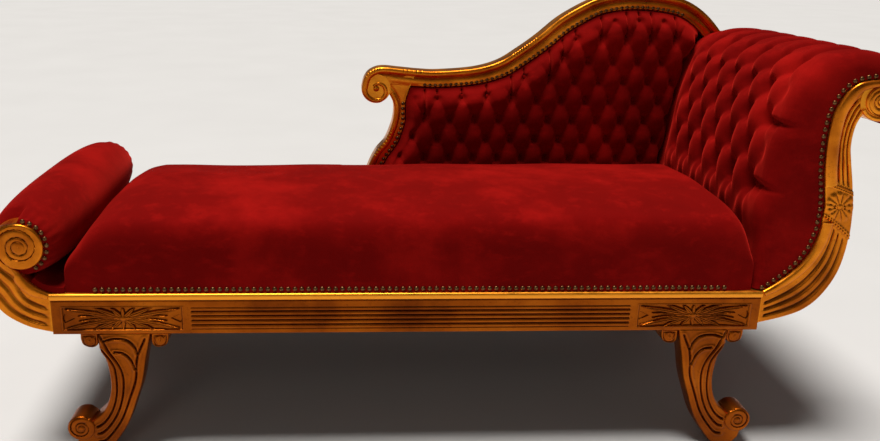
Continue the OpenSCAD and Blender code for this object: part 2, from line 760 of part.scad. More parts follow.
// Puffed diamonds between pleats, deepest at the buttons; a and b count along the two pleats
function tufting(a, b, puff, hole) =
    let (near = pow(cos(180 * a) * cos(180 * b), 2))
    puff * pow(abs(sin(180 * a) * sin(180 * b)), 0.6) - hole * pow(near, 4);
function head_lift(y, k) =
    let (
        t = (y - head_y0) / (head_y1 - head_y0),
        row = (k - head_tuft_first) / 2,
        column = (y - head_y0) / head_tuft_w - 1,
        rows = ramp(row + 1.2) * ramp(head_tuft_rows + 0.2 - row),
        columns = ramp((column + 0.6) * 1.6) * ramp((head_tuft_columns - 0.4 - column) * 1.6),
        back_fade = ramp((notch_y - y) / head_tuft_w * 2),
        across = sqrt(max(0, 1 - pow(abs(2 * t - 0.85), 3))),
        crown = head_bulge * ramp(row + 1.6) * ramp((HEAD_CROWN_END - row) / 2) * across,
        tufts = tufting(column + row / 2, column - row / 2, head_puff, head_hole)
    )
    back_fade * (crown + rows * columns * tufts);
head_draw = 26;
head_stations = 4 * head_tuft_columns + 6;
head_first_share = 0.2;
head_front_shares = [0, 0.5, 0.85];
head_turn = [0.25, 0.6, 0.86, 1];
module head_tufted_cover() {
    y_step = (head_y1 - head_y0) / head_stations;
    first = ceil(head_draw / y_step + head_first_share);
    front_y1 = head_y0 + head_front_t;
    color(VELVET) at_head() skin([
        for (k = [0 : len(head_pairs) - 1])
            let (
                a = head_pairs[k][0], b = head_pairs[k][1], t = norm(b - a), n = (b - a) / t,
                thick = min(head_cover_t, t * 0.6),
                draw = min(head_draw, t * 0.7)
            )
            concat(
                [for (s = head_front_shares) let (p = a + n * (t - draw) * s) [p[0], head_y0, p[1]]],
                [for (s = head_turn)
                    let (p = a + n * (t - draw * (1 - s)), lift = head_lift(head_y0 + head_draw, k) * s)
                    [p[0] + n[0] * lift, head_y0 + head_draw * (1 - sqrt(1 - s * s)), p[1] + n[1] * lift]],
                [for (j = [first : head_stations])
                    let (y = head_y0 + y_step * j, p = b + n * head_lift(y, k))
                    [p[0], y, p[1]]],
                [for (q = [[b - n * thick, head_y1], [b - n * thick, front_y1], [a, front_y1]])
                    [q[0][0], q[1], q[0][1]]]
            )
    ]);
}
function head_thick(k) = min(head_cover_t, norm(head_pairs[k][1] - head_pairs[k][0]) * 0.6);
HEAD_FOAM_END = 16;
module head_foam() {
    near = [for (k = [0 : HEAD_FOAM_END]) head_pairs[k][0]];
    far = [
        for (k = [0 : HEAD_FOAM_END])
            let (a = head_pairs[k][0], b = head_pairs[k][1], n = (b - a) / norm(b - a))
            b - n * (head_thick(k) + soft_gap)
    ];
    color("khaki") at_head() upright(head_y0 + head_front_t + soft_gap, head_y1)
        polygon(concat(near, reversed(far)));
}
button_h = 7;
button_lift_share = 0.5;
head_button_share = 0.75;
button_crown_share = 0.7;
shank_share = 0.4;
shank_tip_share = 0.05;
shank_gap = 1;
// Covered button with the tapered shank that draws it down towards its hollow
module tuft_button(lift) {
    cylinder(h = button_h, d1 = button_d, d2 = button_d * button_crown_share);
    translate([0, 0, shank_gap - lift])
        cylinder(h = lift - shank_gap + over, d1 = button_d * shank_tip_share, d2 = button_d * shank_share);
}
module head_buttons() {
    color(VELVET) at_head() for (r = [0 : head_tuft_rows - 1], c = [0 : head_tuft_columns - 1 - r % 2]) {
        k = head_tuft_first + 2 * r;
        y = head_y0 + head_tuft_w * (1 + c + (r % 2) / 2);
        if (y < notch_y - head_tuft_w / 2) {
            a = head_pairs[k][0];
            b = head_pairs[k][1];
            n = (b - a) / norm(b - a);
            p = b + n * (head_lift(y, k) + button_d * head_button_share);
            translate([p[0], y, p[1]])
                rotate([0, atan2(n[0], n[1]), 0])
                    tuft_button(button_d * head_button_share);
        }
    }
}

// Back: a moulded crest ending in a scroll, a curved stile, and a bottom rail
tack_w = 25;
tack_sink = 20;
tack_end = 4;
module crest_outline() {
    polygon(concat(crest_all, reversed(crest_under), [crest_centre]));
    translate(crest_centre)
        circle(crest_disc_r);
}
module crest_solid() {
    at_middle() {
        upright(back_in_y, back_y)
            crest_outline();
        upright(back_in_y + tack_sink, back_y)
            polygon(band(trimmed(crest_run, tack_end), -crest_w / 2, -crest_w - tack_w));
    }
}
rim_share = 0.42;
crest_eye_share = 0.7;
function outward(pair) = (pair[1] - pair[0]) / norm(pair[1] - pair[0]);
module crest_rail() {
    color(GOLD) difference() {
        union() {
            crest_solid();
            at_middle() upright(back_in_y - bead_proud, back_in_y + over)
                polygon(band(crest_all, 0, -crest_w * rim_share));
            at_middle() translate([0, back_in_y - face_y, 0])
                volute(crest_centre, crest_disc_r * crest_eye_share, 90, 1);
        }
        at_head() upright(back_in_y - bead_proud - over, back_y + over)
            head_board();
        at_head() upright(back_in_y - bead_proud - over, back_in_y)
            polygon(concat([for (q = head_pairs) q[1] + outward(q) * over], [head_centre]));
    }
}
module stile_outline(outer, inner) {
    low_out = [outer[len(outer) - 1][0], rail_h];
    low_in = [inner[len(inner) - 1][0], rail_h];
    corner = [crest_w, crest_low - crest_w / 2];
    polygon(concat([crest_centre], outer, [low_out, low_in], reversed(inner), [corner]));
}
module back_stile() {
    color(GOLD) difference() {
        at_middle() {
            upright(back_in_y, back_y)
                stile_outline(stile_outer, stile_inner);
            upright(back_in_y + tack_sink, back_y)
                stile_outline(stile_inner, moved(stile_inner, tack_w));
        }
        crest_solid();
    }
}
bottom_rail_h = 38;
module back_bottom_rail() {
    x0 = mid_x + stile_inner[len(stile_inner) - 1][0] + 2 * tack_w;
    color(RAW_WOOD) translate([x0, back_in_y + tack_sink, rail_top])
        cube([head_x - x0, board_t - tack_sink, bottom_rail_h]);
}
// An upholstered field of the back, between a side, a top and the head end
function field(side, top, head, low) = concat(
    [[height(by_height(side), low), low]],
    [for (p = side) if (p[1] > low && p[1] < top[0][1]) p],
    [for (p = top) if (p[0] < height(by_height(head), p[1])) p],
    [for (p = reversed(head)) if (p[1] > low && p[1] < height(top, p[0])) p],
    [[height(by_height(head), low), low]]
);
HEAD_BASE_END = 14;
head_base = [for (k = [0 : HEAD_BASE_END]) head_pairs[k][1] + [seat_l / 2, 0]];
pad_low = rail_h + bottom_rail_h / 2;
module back_field(inset, low) {
    head = [for (p = head_base) p - [inset, 0]];
    polygon(field(moved(reversed(stile_inner), -inset), moved(crest_under, -inset), head, low));
}
webbing_t = 1.5;
back_foam_t = 14;
field_inset = 2;
back_rim_y = back_in_y + tack_sink - back_foam_t - webbing_t;
module back_foam() {
    color("khaki") at_middle() upright(back_rim_y, back_rim_y + back_foam_t)
        back_field(field_inset, pad_low);
}
module back_webbing() {
    color("tan") at_middle() upright(back_in_y + tack_sink - webbing_t, back_in_y + tack_sink)
        back_field(field_inset, pad_low);
}
back_tuft_x = 68;
back_tuft_z = 347;
back_puff = 13;
back_hole = 4;
back_edge = 50;
pad_inset = 1.5;
pad_step = 1.5;
button_room_share = 0.8;
left_columns = ceil((back_tuft_x + back_start) * 2 / back_tuft_w) - 1;
right_columns = floor((seat_l / 2 + head_reach * 0.25 - back_tuft_x) * 2 / back_tuft_w);
low_rows = floor((back_tuft_z - pad_low) * 2 / back_tuft_h);
high_rows = ceil((crest_low + crest_rise - crest_w - back_tuft_z) * 2 / back_tuft_h);
function back_left(z) = height(by_height(reversed(stile_inner)), min(z, stile_inner[0][1])) + pad_inset;
function back_right(z) = height(by_height(head_base), z) - pad_inset;
function back_top(x) = height(crest_under, max(x, crest_under[0][0])) - pad_inset;
function back_lift(x, z) =
    let (
        top = back_top(x) - z,
        side = x - back_left(z),
        head = back_right(z) - x,
        edge = sqrt(ramp(top / back_edge) * ramp(side / back_edge) * ramp(2 * head / back_edge)),
        row = (z - back_tuft_z) / back_tuft_h,
        column = (x - back_tuft_x) / back_tuft_w,
        inside = ramp(2 * top / back_edge - 0.3) * ramp(2 * side / back_edge - 0.3),
        tufts = tufting(column + row / 2, column - row / 2, back_puff, back_hole)
    )
    (back_pad_t - back_puff) * edge + inside * tufts;
function back_point(i, j, flat) =
    let (
        m = left_columns + right_columns,
        n = low_rows + high_rows,
        x0 = back_tuft_x + (i - left_columns) * back_tuft_w / 2,
        z0 = j == 0 ? pad_low : back_tuft_z + (j - low_rows) * back_tuft_h / 2,
        z1 = min(z0, back_top(x0) - (n - j) * pad_step),
        x = min(max(x0, back_left(z1) + i * pad_step), back_right(z1) - (m - i) * pad_step),
        z = min(z0, back_top(x) - (n - j) * pad_step)
    )
    [x, flat ? back_rim_y - soft_gap : back_in_y - pad_step - back_lift(x, z), z];
module back_tufted_cover() {
    m = left_columns + right_columns;
    n = low_rows + high_rows;
    grids = [for (flat = [false, true]) [for (i = [0 : m]) [for (j = [0 : n]) back_point(i, j, flat)]]];
    color(VELVET) at_middle() quilt(grids[0], grids[1]);
}
module back_buttons() {
    color(VELVET) at_middle() for (r = [-low_rows : high_rows], c = [-left_columns : right_columns]) {
        x = back_tuft_x + back_tuft_w * (c + abs(r % 2) / 2);
        z = back_tuft_z + back_tuft_h * r;
        room = min(2 * (back_top(x) - z), x - back_left(z), back_right(z) - x, z - seat_crown + button_d);
        if (room > back_edge * button_room_share) {
            translate([x, back_in_y - pad_step - back_lift(x, z) - button_d * button_lift_share, z])
                rotate([90, 0, 0])
                    tuft_button(button_d * button_lift_share);
        }
    }
}
rear_margin = 12;
module back_outside_cover() {
    side = moved(reversed(stile_outer), -rear_margin);
    top = moved(crest_run, -rear_margin);
    head = moved([for (p = head_inner) p + [seat_l / 2, 0]], panel_set);
    color(VELVET) at_middle() upright(back_y, back_y + rear_sheet)
        polygon(field(side, top, head, rail_h + soft_gap));
}

// Seat: a loose frame with webbing, hessian and a foam slab, under a crowned padded cover
seat_y0 = roll_y0;
seat_y1 = roll_y1;
seat_x0 = foot_x + seat_foot_gap;
seat_x1 = head_x - head_pad_u - 2 * soft_gap;
notch_x = mid_x - back_start - bar_w;
notch_y = back_in_y - back_pad_t - 2 * soft_gap;
seat_z0 = rail_top + soft_gap;
seat_end_r = 110;
seat_step_w = 12;
seat_rise_shares = [0.95, 1.03];
seat_end_shares = [[0, 0], [0.01, 0.15], [0.02, 0.38], [0.16, 0.53], [0.31, 0.68], [0.48, 0.83],
    [0.7, 0.94], [1, 1]];
seat_side_shares = [[0, 0], [0.001, 0.12], [0.002, 0.36], [0.003, 0.6], [0.01, 0.75], [0.026, 0.85],
    [0.055, 0.91], [0.12, 0.96], [0.25, 0.995], [0.39, 1], [0.53, 0.97], [0.68, 0.89], [0.82, 0.76],
    [0.92, 0.56], [0.975, 0.36], [0.998, 0.15], [1, 0]];
seat_notch_shares = [[0, 0], [0.001, 0.12], [0.002, 0.36], [0.003, 0.6], [0.012, 0.75], [0.03, 0.85],
    [0.065, 0.91], [0.14, 0.96], [0.29, 0.995], [0.45, 1], [0.61, 0.97], [0.76, 0.905], [0.88, 0.82],
    [0.95, 0.74], [0.985, 0.6], [0.998, 0.3], [1, 0]];
seat_foot_part_shares = [0.36, 0.55, 0.75];
seat_head_part_shares = [0.15, 0.36, 0.6, 0.8];
seat_columns = let (l = seat_x1 - seat_x0, n = notch_x - seat_x0) concat(
    [for (s = seat_end_shares) [s[0] * seat_end_r, s[1], 0]],
    [for (s = seat_foot_part_shares) [n * s, 1, 0]],
    [[n - seat_step_w, 1, 0], [n, 1, 1]],
    [for (s = seat_head_part_shares) [n + (l - n) * s, 1, 1]],
    [for (s = reversed(seat_end_shares)) [l - s[0] * seat_end_r / 2, s[1], 1]]
);
seat_draw = 6;
wall = 14;
hessian_t = 1;
foam_t = 34;
foam_in = 5;
bar_clear = 3;
bar_gap = wall + bar_clear;
bar_rear_gap = 26;
bar_end_gap = 30;
bar_top = rail_top + bar_h;
bar_x0 = seat_x0 + bar_end_gap;
bar_x1 = seat_x1 - bar_end_gap;
bar_y0 = seat_y0 + bar_gap;
bar_y1 = notch_y - bar_rear_gap;
rear_y1 = seat_y1 - bar_rear_gap;
notch_bar_x1 = notch_x - seat_step_w - bar_gap;
hollow_h = bar_h + 2 * webbing_t + hessian_t + foam_t + soft_gap;
function seat_point(c, s) =
    let (
        l = seat_x1 - seat_x0,
        both = c[1] * s[1] == 0 ? 0 : c[1] * s[1] / (c[1] + s[1] - c[1] * s[1]),
        rise = both * (seat_rise_shares[0] + (seat_rise_shares[1] - seat_rise_shares[0]) * c[0] / l),
        draw = seat_draw * (1 - c[1]),
        deep = (c[2] ? notch_y : seat_y1) - seat_y0 - 2 * draw
    )
    [seat_x0 + c[0], seat_y0 + draw + deep * s[0], (seat_crown - rail_h - soft_gap) * rise];
function hollow_point(c, s) =
    let (
        n = notch_x - seat_x0,
        p = seat_point(c, s),
        deep = (c[2] ? notch_y : seat_y1) - seat_y0 - 2 * wall,
        x = c[2] ? c[0] - wall : wall + (n - seat_step_w - 2 * wall) * c[0] / (n - seat_step_w)
    )
    [seat_x0 + x, seat_y0 + wall + deep * s[0], min(hollow_h, max(p[2] - wall / 2, p[2] / 2))];
module seat_cover() {
    grids = [for (in = [false, true]) [for (c = seat_columns)
        [for (s = c[2] ? seat_notch_shares : seat_side_shares)
            in ? hollow_point(c, s) : seat_point(c, s)]]];
    color(VELVET) translate([0, 0, seat_z0])
        quilt(grids[0], grids[1]);
}
module bar(x0, x1, y0, y1) {
    translate([x0, y0, rail_top])
        cube([x1 - x0, y1 - y0, bar_h]);
}
module seat_frame_front_bar() {
    color(RAW_WOOD) bar(bar_x0, bar_x1, bar_y0, bar_y0 + bar_w);
}
module seat_frame_back_bar() {
    color(RAW_WOOD) bar(bar_x0, bar_x1, bar_y1 - bar_w, bar_y1);
}
module seat_frame_foot_bar() {
    color(RAW_WOOD) bar(bar_x0, bar_x0 + bar_w, bar_y0 + bar_w, bar_y1 - bar_w);
}
module seat_frame_head_bar() {
    color(RAW_WOOD) bar(bar_x1 - bar_w, bar_x1, bar_y0 + bar_w, bar_y1 - bar_w);
}
module seat_frame_rear_bars() {
    color(RAW_WOOD) {
        bar(bar_x0, notch_bar_x1, rear_y1 - bar_w / 2, rear_y1);
        bar(bar_x0, bar_x0 + bar_w, bar_y1, rear_y1 - bar_w / 2);
        bar(notch_bar_x1 - bar_w, notch_bar_x1, bar_y1, rear_y1 - bar_w / 2);
    }
}
strap_w = 50;
cross_strap_n = 12;
long_strap_n = 5;
module seat_cross_webbing() {
    pitch = (bar_x1 - bar_x0 - strap_w) / (cross_strap_n - 1);
    color("tan") for (k = [0 : cross_strap_n - 1]) {
        translate([bar_x0 + pitch * k, bar_y0, bar_top])
            cube([strap_w, bar_y1 - bar_y0, webbing_t]);
    }
}
module seat_long_webbing() {
    pitch = (bar_y1 - bar_y0 - strap_w) / (long_strap_n - 1);
    color("tan") for (k = [0 : long_strap_n - 1]) {
        translate([bar_x0, bar_y0 + pitch * k, bar_top + webbing_t])
            cube([bar_x1 - bar_x0, strap_w, webbing_t]);
    }
}
foam_z = bar_top + 2 * webbing_t + hessian_t;
module seat_hessian() {
    color("peru") translate([bar_x0, bar_y0, bar_top + 2 * webbing_t])
        cube([bar_x1 - bar_x0, bar_y1 - bar_y0, hessian_t]);
}
module seat_foam() {
    color("khaki") translate([bar_x0 + foam_in, bar_y0 + foam_in, foam_z])
        cube([bar_x1 - bar_x0 - 2 * foam_in, bar_y1 - bar_y0 - 2 * foam_in, foam_t]);
}
dust_t = 1;
module bottom_dust_cover() {
    color("black") translate([foot_x + brace_t, board_in_y, leg_h])
        cube([seat_l - 2 * brace_t, inner_d, dust_t]);
}

// Rows of round-headed upholstery nails
module nail(x, y, z, way) {
    translate([x, y, z])
        rotate([way * 90, 0, 0])
            cylinder(h = nail_h, d1 = nail_d, d2 = nail_d / 2);
}
module nail_row(path, pitch, y, way) {
    l = length(path);
    n = floor(l / pitch);
    for (k = [0 : n - 1]) {
        p = at(path, (k + 0.5) * l / n);
        nail(p[0], y, p[1], way);
    }
}
nail_up = 8;
module front_rail_nails() {
    z = rail_h + nail_up;
    y = seat_y0;
    first = [seat_foot_gap + seat_end_r / 2 - seat_l / 2, z];
    last = [seat_l / 2 - head_pad_u - seat_end_r / 2, z];
    color("darkgoldenrod") at_middle()
        nail_row([first, last], nail_pitch, y, 1);
}
RING_FROM = 95;
RING_TO = 245;
module foot_scroll_nails() {
    ring = arc(foot_centre, foot_disc_r + nail_d / 2 + soft_gap, RING_FROM, RING_TO, 24);
    color("darkgoldenrod") at_foot() {
        nail_row(ring, nail_pitch, roll_y0, 1);
        nail_row(ring, nail_pitch, roll_y1, -1);
    }
}
nail_off = nail_d * 0.7;
HEAD_NAILS_END = 17;
module head_arm_nails() {
    path = [for (k = [0 : HEAD_NAILS_END]) head_pairs[k][0] + outward(head_pairs[k]) * nail_off];
    color("darkgoldenrod") at_head() nail_row(path, nail_pitch, head_y0, 1);
}
function part_of(p, first, left) = [for (i = [first : len(p) - left]) p[i]];
module crest_nails() {
    color("darkgoldenrod") at_middle() {
        nail_row(moved(part_of(crest_under, 1, 3 * SPAN), nail_off), nail_pitch, back_in_y, 1);
        nail_row(moved(part_of(stile_inner, SPAN, SPAN), -nail_off), nail_pitch, back_in_y, 1);
    }
}
module back_rail_nails() {
    z = rail_h + nail_up;
    y = back_y + rear_sheet;
    color("darkgoldenrod") at_middle() {
        nail_row([[nail_pitch - back_start / 2, z], [seat_l / 2 - nail_pitch, z]], rear_nail_pitch, y, -1);
        nail_row(moved(part_of(crest_run, 1, 4 * SPAN), -rear_margin - nail_up), rear_nail_pitch, y, -1);
    }
}

front_seat_rail();
back_seat_rail();
foot_end_rail();
head_end_rail();
seat_cross_braces();
corner_blocks();
corner_block_screws();
rail_dowels();
leg_dowels();
front_foot_arm();
back_foot_arm();
front_head_arm();
back_head_arm();
front_foot_leg();
front_head_leg();
back_foot_leg();
back_head_leg();
front_leg_ears();
back_leg_ears();
foot_roll_core();
foot_roll_cover();
foot_inner_lining();
foot_outside_cover();
head_top_rail();
head_middle_rail();
head_lining_board();
head_foam();
head_tufted_cover();
head_buttons();
head_outside_cover();
crest_rail();
back_stile();
back_bottom_rail();
back_webbing();
back_foam();
back_tufted_cover();
back_buttons();
back_outside_cover();
seat_frame_front_bar();
seat_frame_back_bar();
seat_frame_foot_bar();
seat_frame_head_bar();
seat_frame_rear_bars();
seat_cross_webbing();
seat_long_webbing();
seat_hessian();
seat_foam();
seat_cover();
bottom_dust_cover();
front_rail_nails();
foot_scroll_nails();
head_arm_nails();
crest_nails();
back_rail_nails();
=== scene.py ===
import json
import bmesh
import bpy
import numpy as np
from numpy import array, clip, concatenate, cos, exp, interp, linspace, maximum, minimum
from numpy import pi, radians, sin, sqrt, stack, where
from mathutils import Matrix, Vector


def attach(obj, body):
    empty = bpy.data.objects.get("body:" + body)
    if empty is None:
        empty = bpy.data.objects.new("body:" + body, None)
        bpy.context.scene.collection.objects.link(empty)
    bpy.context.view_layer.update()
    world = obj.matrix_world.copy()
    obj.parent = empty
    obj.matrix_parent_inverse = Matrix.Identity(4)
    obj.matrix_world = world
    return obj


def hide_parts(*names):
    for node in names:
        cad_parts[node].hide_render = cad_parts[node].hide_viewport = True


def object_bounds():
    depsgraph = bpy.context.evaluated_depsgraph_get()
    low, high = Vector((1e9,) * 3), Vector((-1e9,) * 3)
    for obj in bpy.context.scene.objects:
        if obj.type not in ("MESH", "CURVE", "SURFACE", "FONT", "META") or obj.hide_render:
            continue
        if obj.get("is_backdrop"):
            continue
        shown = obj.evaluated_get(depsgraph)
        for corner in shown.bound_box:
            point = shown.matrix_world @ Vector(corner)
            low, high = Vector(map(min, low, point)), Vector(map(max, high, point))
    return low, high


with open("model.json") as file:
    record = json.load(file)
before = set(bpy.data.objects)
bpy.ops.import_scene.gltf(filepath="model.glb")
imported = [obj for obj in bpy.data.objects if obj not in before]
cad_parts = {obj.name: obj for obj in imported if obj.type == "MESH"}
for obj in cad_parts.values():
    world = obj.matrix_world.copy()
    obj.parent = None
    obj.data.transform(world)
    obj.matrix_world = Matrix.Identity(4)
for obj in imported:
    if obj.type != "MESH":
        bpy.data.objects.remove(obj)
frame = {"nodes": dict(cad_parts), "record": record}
CAD_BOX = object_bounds()
MM = 0.001

# Sizes in mm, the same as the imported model's
SEAT_L, LEG_H, RAIL_H = 1500.0, 280.0, 92.0
MID_X = -54.5
FOOT_X, HEAD_X = MID_X - SEAT_L / 2, MID_X + SEAT_L / 2
FACE_Y, BOARD_IN_Y, BACK_IN_Y, BACK_Y = -322.5, -277.5, 279.5, 324.5
SOFT_Y0, SOFT_Y1 = -320.5, 322.5
SOFT_GAP, PAD_GAP = 0.3, 1.5
BEAD_W, BEAD_PROUD = 15.0, 5.0
PANEL_L, PANEL_H, PANEL_SINK, PANEL_LOW, PANEL_IN = 245.0, 51.0, 4.0, 10.0, 144.0
FOOT_REACH, FOOT_RISE, FOOT_DISC_R, FOOT_ROLL_R = 134.0, 244.0, 49.0, 86.0
HEAD_REACH, HEAD_RISE, HEAD_DISC_R, HEAD_PAD_OUT = 230.0, 552.0, 43.0, 16.0
LEG_T, LEG_TOP_W, LEG_KICK, TOE_R = 46.0, 108.0, 104.0, 29.0
CREST_LOW, CREST_RISE, CREST_W, CREST_DISC_R, BACK_START = 470.0, 215.0, 45.0, 40.0, 104.0
SEAT_TOP, SEAT_FOOT_GAP, SEAT_HEAD_GAP = 270.0, 30.0, 22.6
DRUM_PROUD = 0.6
FOOT_C = array([51.0, FOOT_RISE - FOOT_DISC_R])
HEAD_C = array([HEAD_REACH - HEAD_DISC_R, HEAD_RISE - HEAD_DISC_R - 0.1])
CREST_C = array([CREST_DISC_R - BACK_START, CREST_LOW - CREST_DISC_R * 1.25])


# Curves
def smooth(points, n=5):
    p = array(points, float)
    out = []
    for i in range(len(p) - 1):
        a, b, c, d = p[max(i - 1, 0)], p[i], p[i + 1], p[min(i + 2, len(p) - 1)]
        for t in np.arange(n) / n:
            bend, twist = 2 * a - 5 * b + 4 * c - d, 3 * b - a - 3 * c + d
            out.append(0.5 * (2 * b + (c - a) * t + bend * t * t + twist * t**3))
    out.append(p[-1])
    return array(out)


def scaled(shares, w, h):
    return array(shares, float) * [w, h]


def steps(n):
    return linspace(0, 1, n)


def round_angles(n):
    return linspace(0, 2 * pi, n, endpoint=False)


def unit(a):
    return stack([cos(a), sin(a)], 1)


def travelled(p):
    return concatenate([[0], np.cumsum(np.linalg.norm(np.diff(p, axis=0), axis=1))])


def at_shares(p, shares):
    s = travelled(p)
    return stack([interp(array(shares) * s[-1], s, q) for q in p.T], 1)


# Two curves as one. The first is used up to the last of the knots, at the shares that they give.
def chained(first, second, shares, knots, at_knots):
    low, high = shares[shares < knots[-1]], shares[shares >= knots[-1]]
    late = (high - knots[-1]) / (1 - knots[-1])
    return concatenate([at_shares(first, interp(low, knots, at_knots)), at_shares(second, late)])


def normals(p):
    last = len(p) - 1
    r = p[minimum(np.arange(len(p)) + 1, last)] - p[maximum(np.arange(len(p)) - 1, 0)]
    return stack([-r[:, 1], r[:, 0]], 1) / np.linalg.norm(r, axis=1)[:, None]


def moved(p, d):
    return p + normals(p) * np.reshape(d, (-1, 1))


# From 0 to 1, a bell, a half circle, and a swell between held edges
def ramp(t):
    t = clip(t, 0, 1)
    return t * t * (3 - 2 * t)


def hump(d, width):
    return exp(-((d / width) ** 2))


def half_round(k):
    return sqrt(maximum(1 - k**2, 0))


def swell(t):
    return 1 - (2 * t - 1) ** 4


def arc(c, r, a0, a1, n):
    return c + r * unit(radians(linspace(a0, a1, n)))


def by_z(p, z):
    q = p[np.argsort(p[:, 1])]
    return interp(z, q[:, 1], q[:, 0])


# Outlines, as shares of the reach and rise that they follow
foot_outer = smooth(scaled([
    [0, 0.02], [0.33, 0.067], [0.61, 0.15], [0.77, 0.235], [0.9, 0.36], [0.98, 0.51], [0.99, 0.66],
    [0.93, 0.8], [0.79, 0.91], [0.6, 0.978], [0.38, 1]], FOOT_REACH, FOOT_RISE))
foot_inner = smooth(scaled([
    [0, 0.38], [0.15, 0.425], [0.27, 0.48], [0.35, 0.535], [0.42, 0.585], [0.56, 0.63]],
    FOOT_REACH, FOOT_RISE))
head_outer = smooth(scaled([
    [0, 0.03], [0.25, 0.056], [0.43, 0.088], [0.574, 0.145], [0.69, 0.235], [0.74, 0.34],
    [0.742, 0.455], [0.705, 0.58], [0.645, 0.69], [0.617, 0.755], [0.632, 0.83], [0.7, 0.89]],
    HEAD_REACH, HEAD_RISE))
head_inner = smooth(scaled([
    [0, 0.17], [0.096, 0.195], [0.226, 0.237], [0.335, 0.285], [0.41, 0.34], [0.452, 0.402],
    [0.466, 0.471], [0.455, 0.545], [0.42, 0.62], [0.398, 0.69], [0.387, 0.779], [0.404, 0.868],
    [0.452, 0.922], [0.52, 0.964], [0.62, 0.991], [0.81, 1]], HEAD_REACH, HEAD_RISE))
CREST_PAST = 128
CREST_L = SEAT_L / 2 + BACK_START + CREST_PAST
crest_all = smooth(scaled([
    [0, -0.23], [0.006, -0.115], [0.018, -0.03], [0.04, 0.025], [0.065, 0.038], [0.104, 0.022],
    [0.16, 0], [0.214, -0.005], [0.311, 0.035], [0.379, 0.125], [0.433, 0.28], [0.486, 0.46],
    [0.538, 0.665], [0.59, 0.815], [0.64, 0.925], [0.7, 0.985], [0.76, 1], [0.83, 0.975],
    [0.893, 0.905], [0.95, 0.74], [1, 0.5], [1.02, 0.36]],
    CREST_L, CREST_RISE) + [-BACK_START, CREST_LOW])
crest_run = crest_all[30:]
crest_under = moved(crest_run, -CREST_W)
stile_outer = smooth(scaled([
    [-0.064, 0.868], [-0.036, 0.81], [-0.032, 0.745], [-0.047, 0.67], [-0.081, 0.585],
    [-0.13, 0.525], [-0.168, 0.453], [-0.196, 0.372], [-0.213, 0.3], [-0.217, 0.24]],
    CREST_LOW, CREST_LOW))
stile_inner = smooth(scaled([
    [0.06, 0.9], [0.037, 0.82], [0.036, 0.745], [0.034, 0.69], [-0.004, 0.574],
    [-0.072, 0.471], [-0.106, 0.383], [-0.123, 0.3], [-0.128, 0.24]], CREST_LOW, CREST_LOW))


def placed(x0, way=1):
    return lambda p: stack([x0 + way * p[:, 0], LEG_H + p[:, 1]], 1)


at_foot, at_head, at_middle = placed(FOOT_X, -1), placed(HEAD_X), placed(MID_X)


# Meshes
def loft(rings):
    rings = array(rings, float)
    m, n = rings.shape[:2]
    i, j = np.meshgrid(np.arange(n), np.arange(m - 1))
    a, b = (j * n + i).ravel(), (j * n + (i + 1) % n).ravel()
    ends = [list(range(n))[::-1], list(range((m - 1) * n, m * n))]
    return rings.reshape(-1, 3), stack([a, b, b + n, a + n], 1).tolist() + ends


def joined(parts):
    verts, faces, k = [], [], 0
    for v, f in parts:
        verts.append(v)
        faces += [[q + k for q in g] for g in f]
        k += len(v)
    return concatenate(verts), faces


# Two fields of shares, and the faces and edge row of a grid of places
def field(nu, nv):
    return np.meshgrid(steps(nu), steps(nv), indexing="ij")


def grid_faces(nu, nv):
    idx = np.arange(nu * nv).reshape(nu, nv)
    faces = stack([idx[:-1, :-1], idx[1:, :-1], idx[1:, 1:], idx[:-1, 1:]], 2)
    rim = concatenate([idx[:, 0], idx[-1, 1:], idx[-2::-1, -1], idx[0, -2:0:-1]])
    return faces.reshape(-1, 4).tolist(), rim.tolist()


# A thin cloth: the grid is its upper face, and its lower face lies a thickness below
def thin(grid, thick):
    verts = grid.reshape(-1, 3)
    faces, rim = grid_faces(*grid.shape[:2])
    k, n = len(verts), len(rim)
    under = [[q + k for q in f] for f in faces]
    side = [[rim[i], rim[(i + 1) % n], rim[(i + 1) % n] + k, rim[i] + k] for i in range(n)]
    return concatenate([verts, verts - [0, 0, thick]]), faces + under + side


# A patch in x and z with a shaped front and a flat back
def slab(grid, front, back):
    verts = stack([grid[..., 0], front, grid[..., 1]], 2).reshape(-1, 3)
    faces, rim = grid_faces(*grid.shape[:2])
    low = verts[rim]
    low[:, 1] = back
    k, n = len(verts), len(rim)
    faces += [[rim[i], rim[(i + 1) % n], k + (i + 1) % n, k + i] for i in range(n)]
    faces.append(list(range(k, k + n)))
    return concatenate([verts, low]), faces


# A four-sided patch between its edges, each running the same way as its opposite
def patch(low, high, left, right, nu, nv):
    u, v = steps(nu), steps(nv)
    lo, hi, le, ri = at_shares(low, u), at_shares(high, u), at_shares(left, v), at_shares(right, v)
    u, v = u[:, None, None], v[None, :, None]
    corner = (1 - u) * (1 - v) * lo[0] + u * (1 - v) * lo[-1] + (1 - u) * v * hi[0] + u * v * hi[-1]
    return (1 - v) * lo[:, None] + v * hi[:, None] + (1 - u) * le[None] + u * ri[None] - corner


def upright(p, y):
    return stack([p[:, 0], np.broadcast_to(y, len(p)), p[:, 1]], 1)


def rounding(d, radius):
    return radius - sqrt(maximum(radius**2 - maximum(radius - d, 0) ** 2, 0))


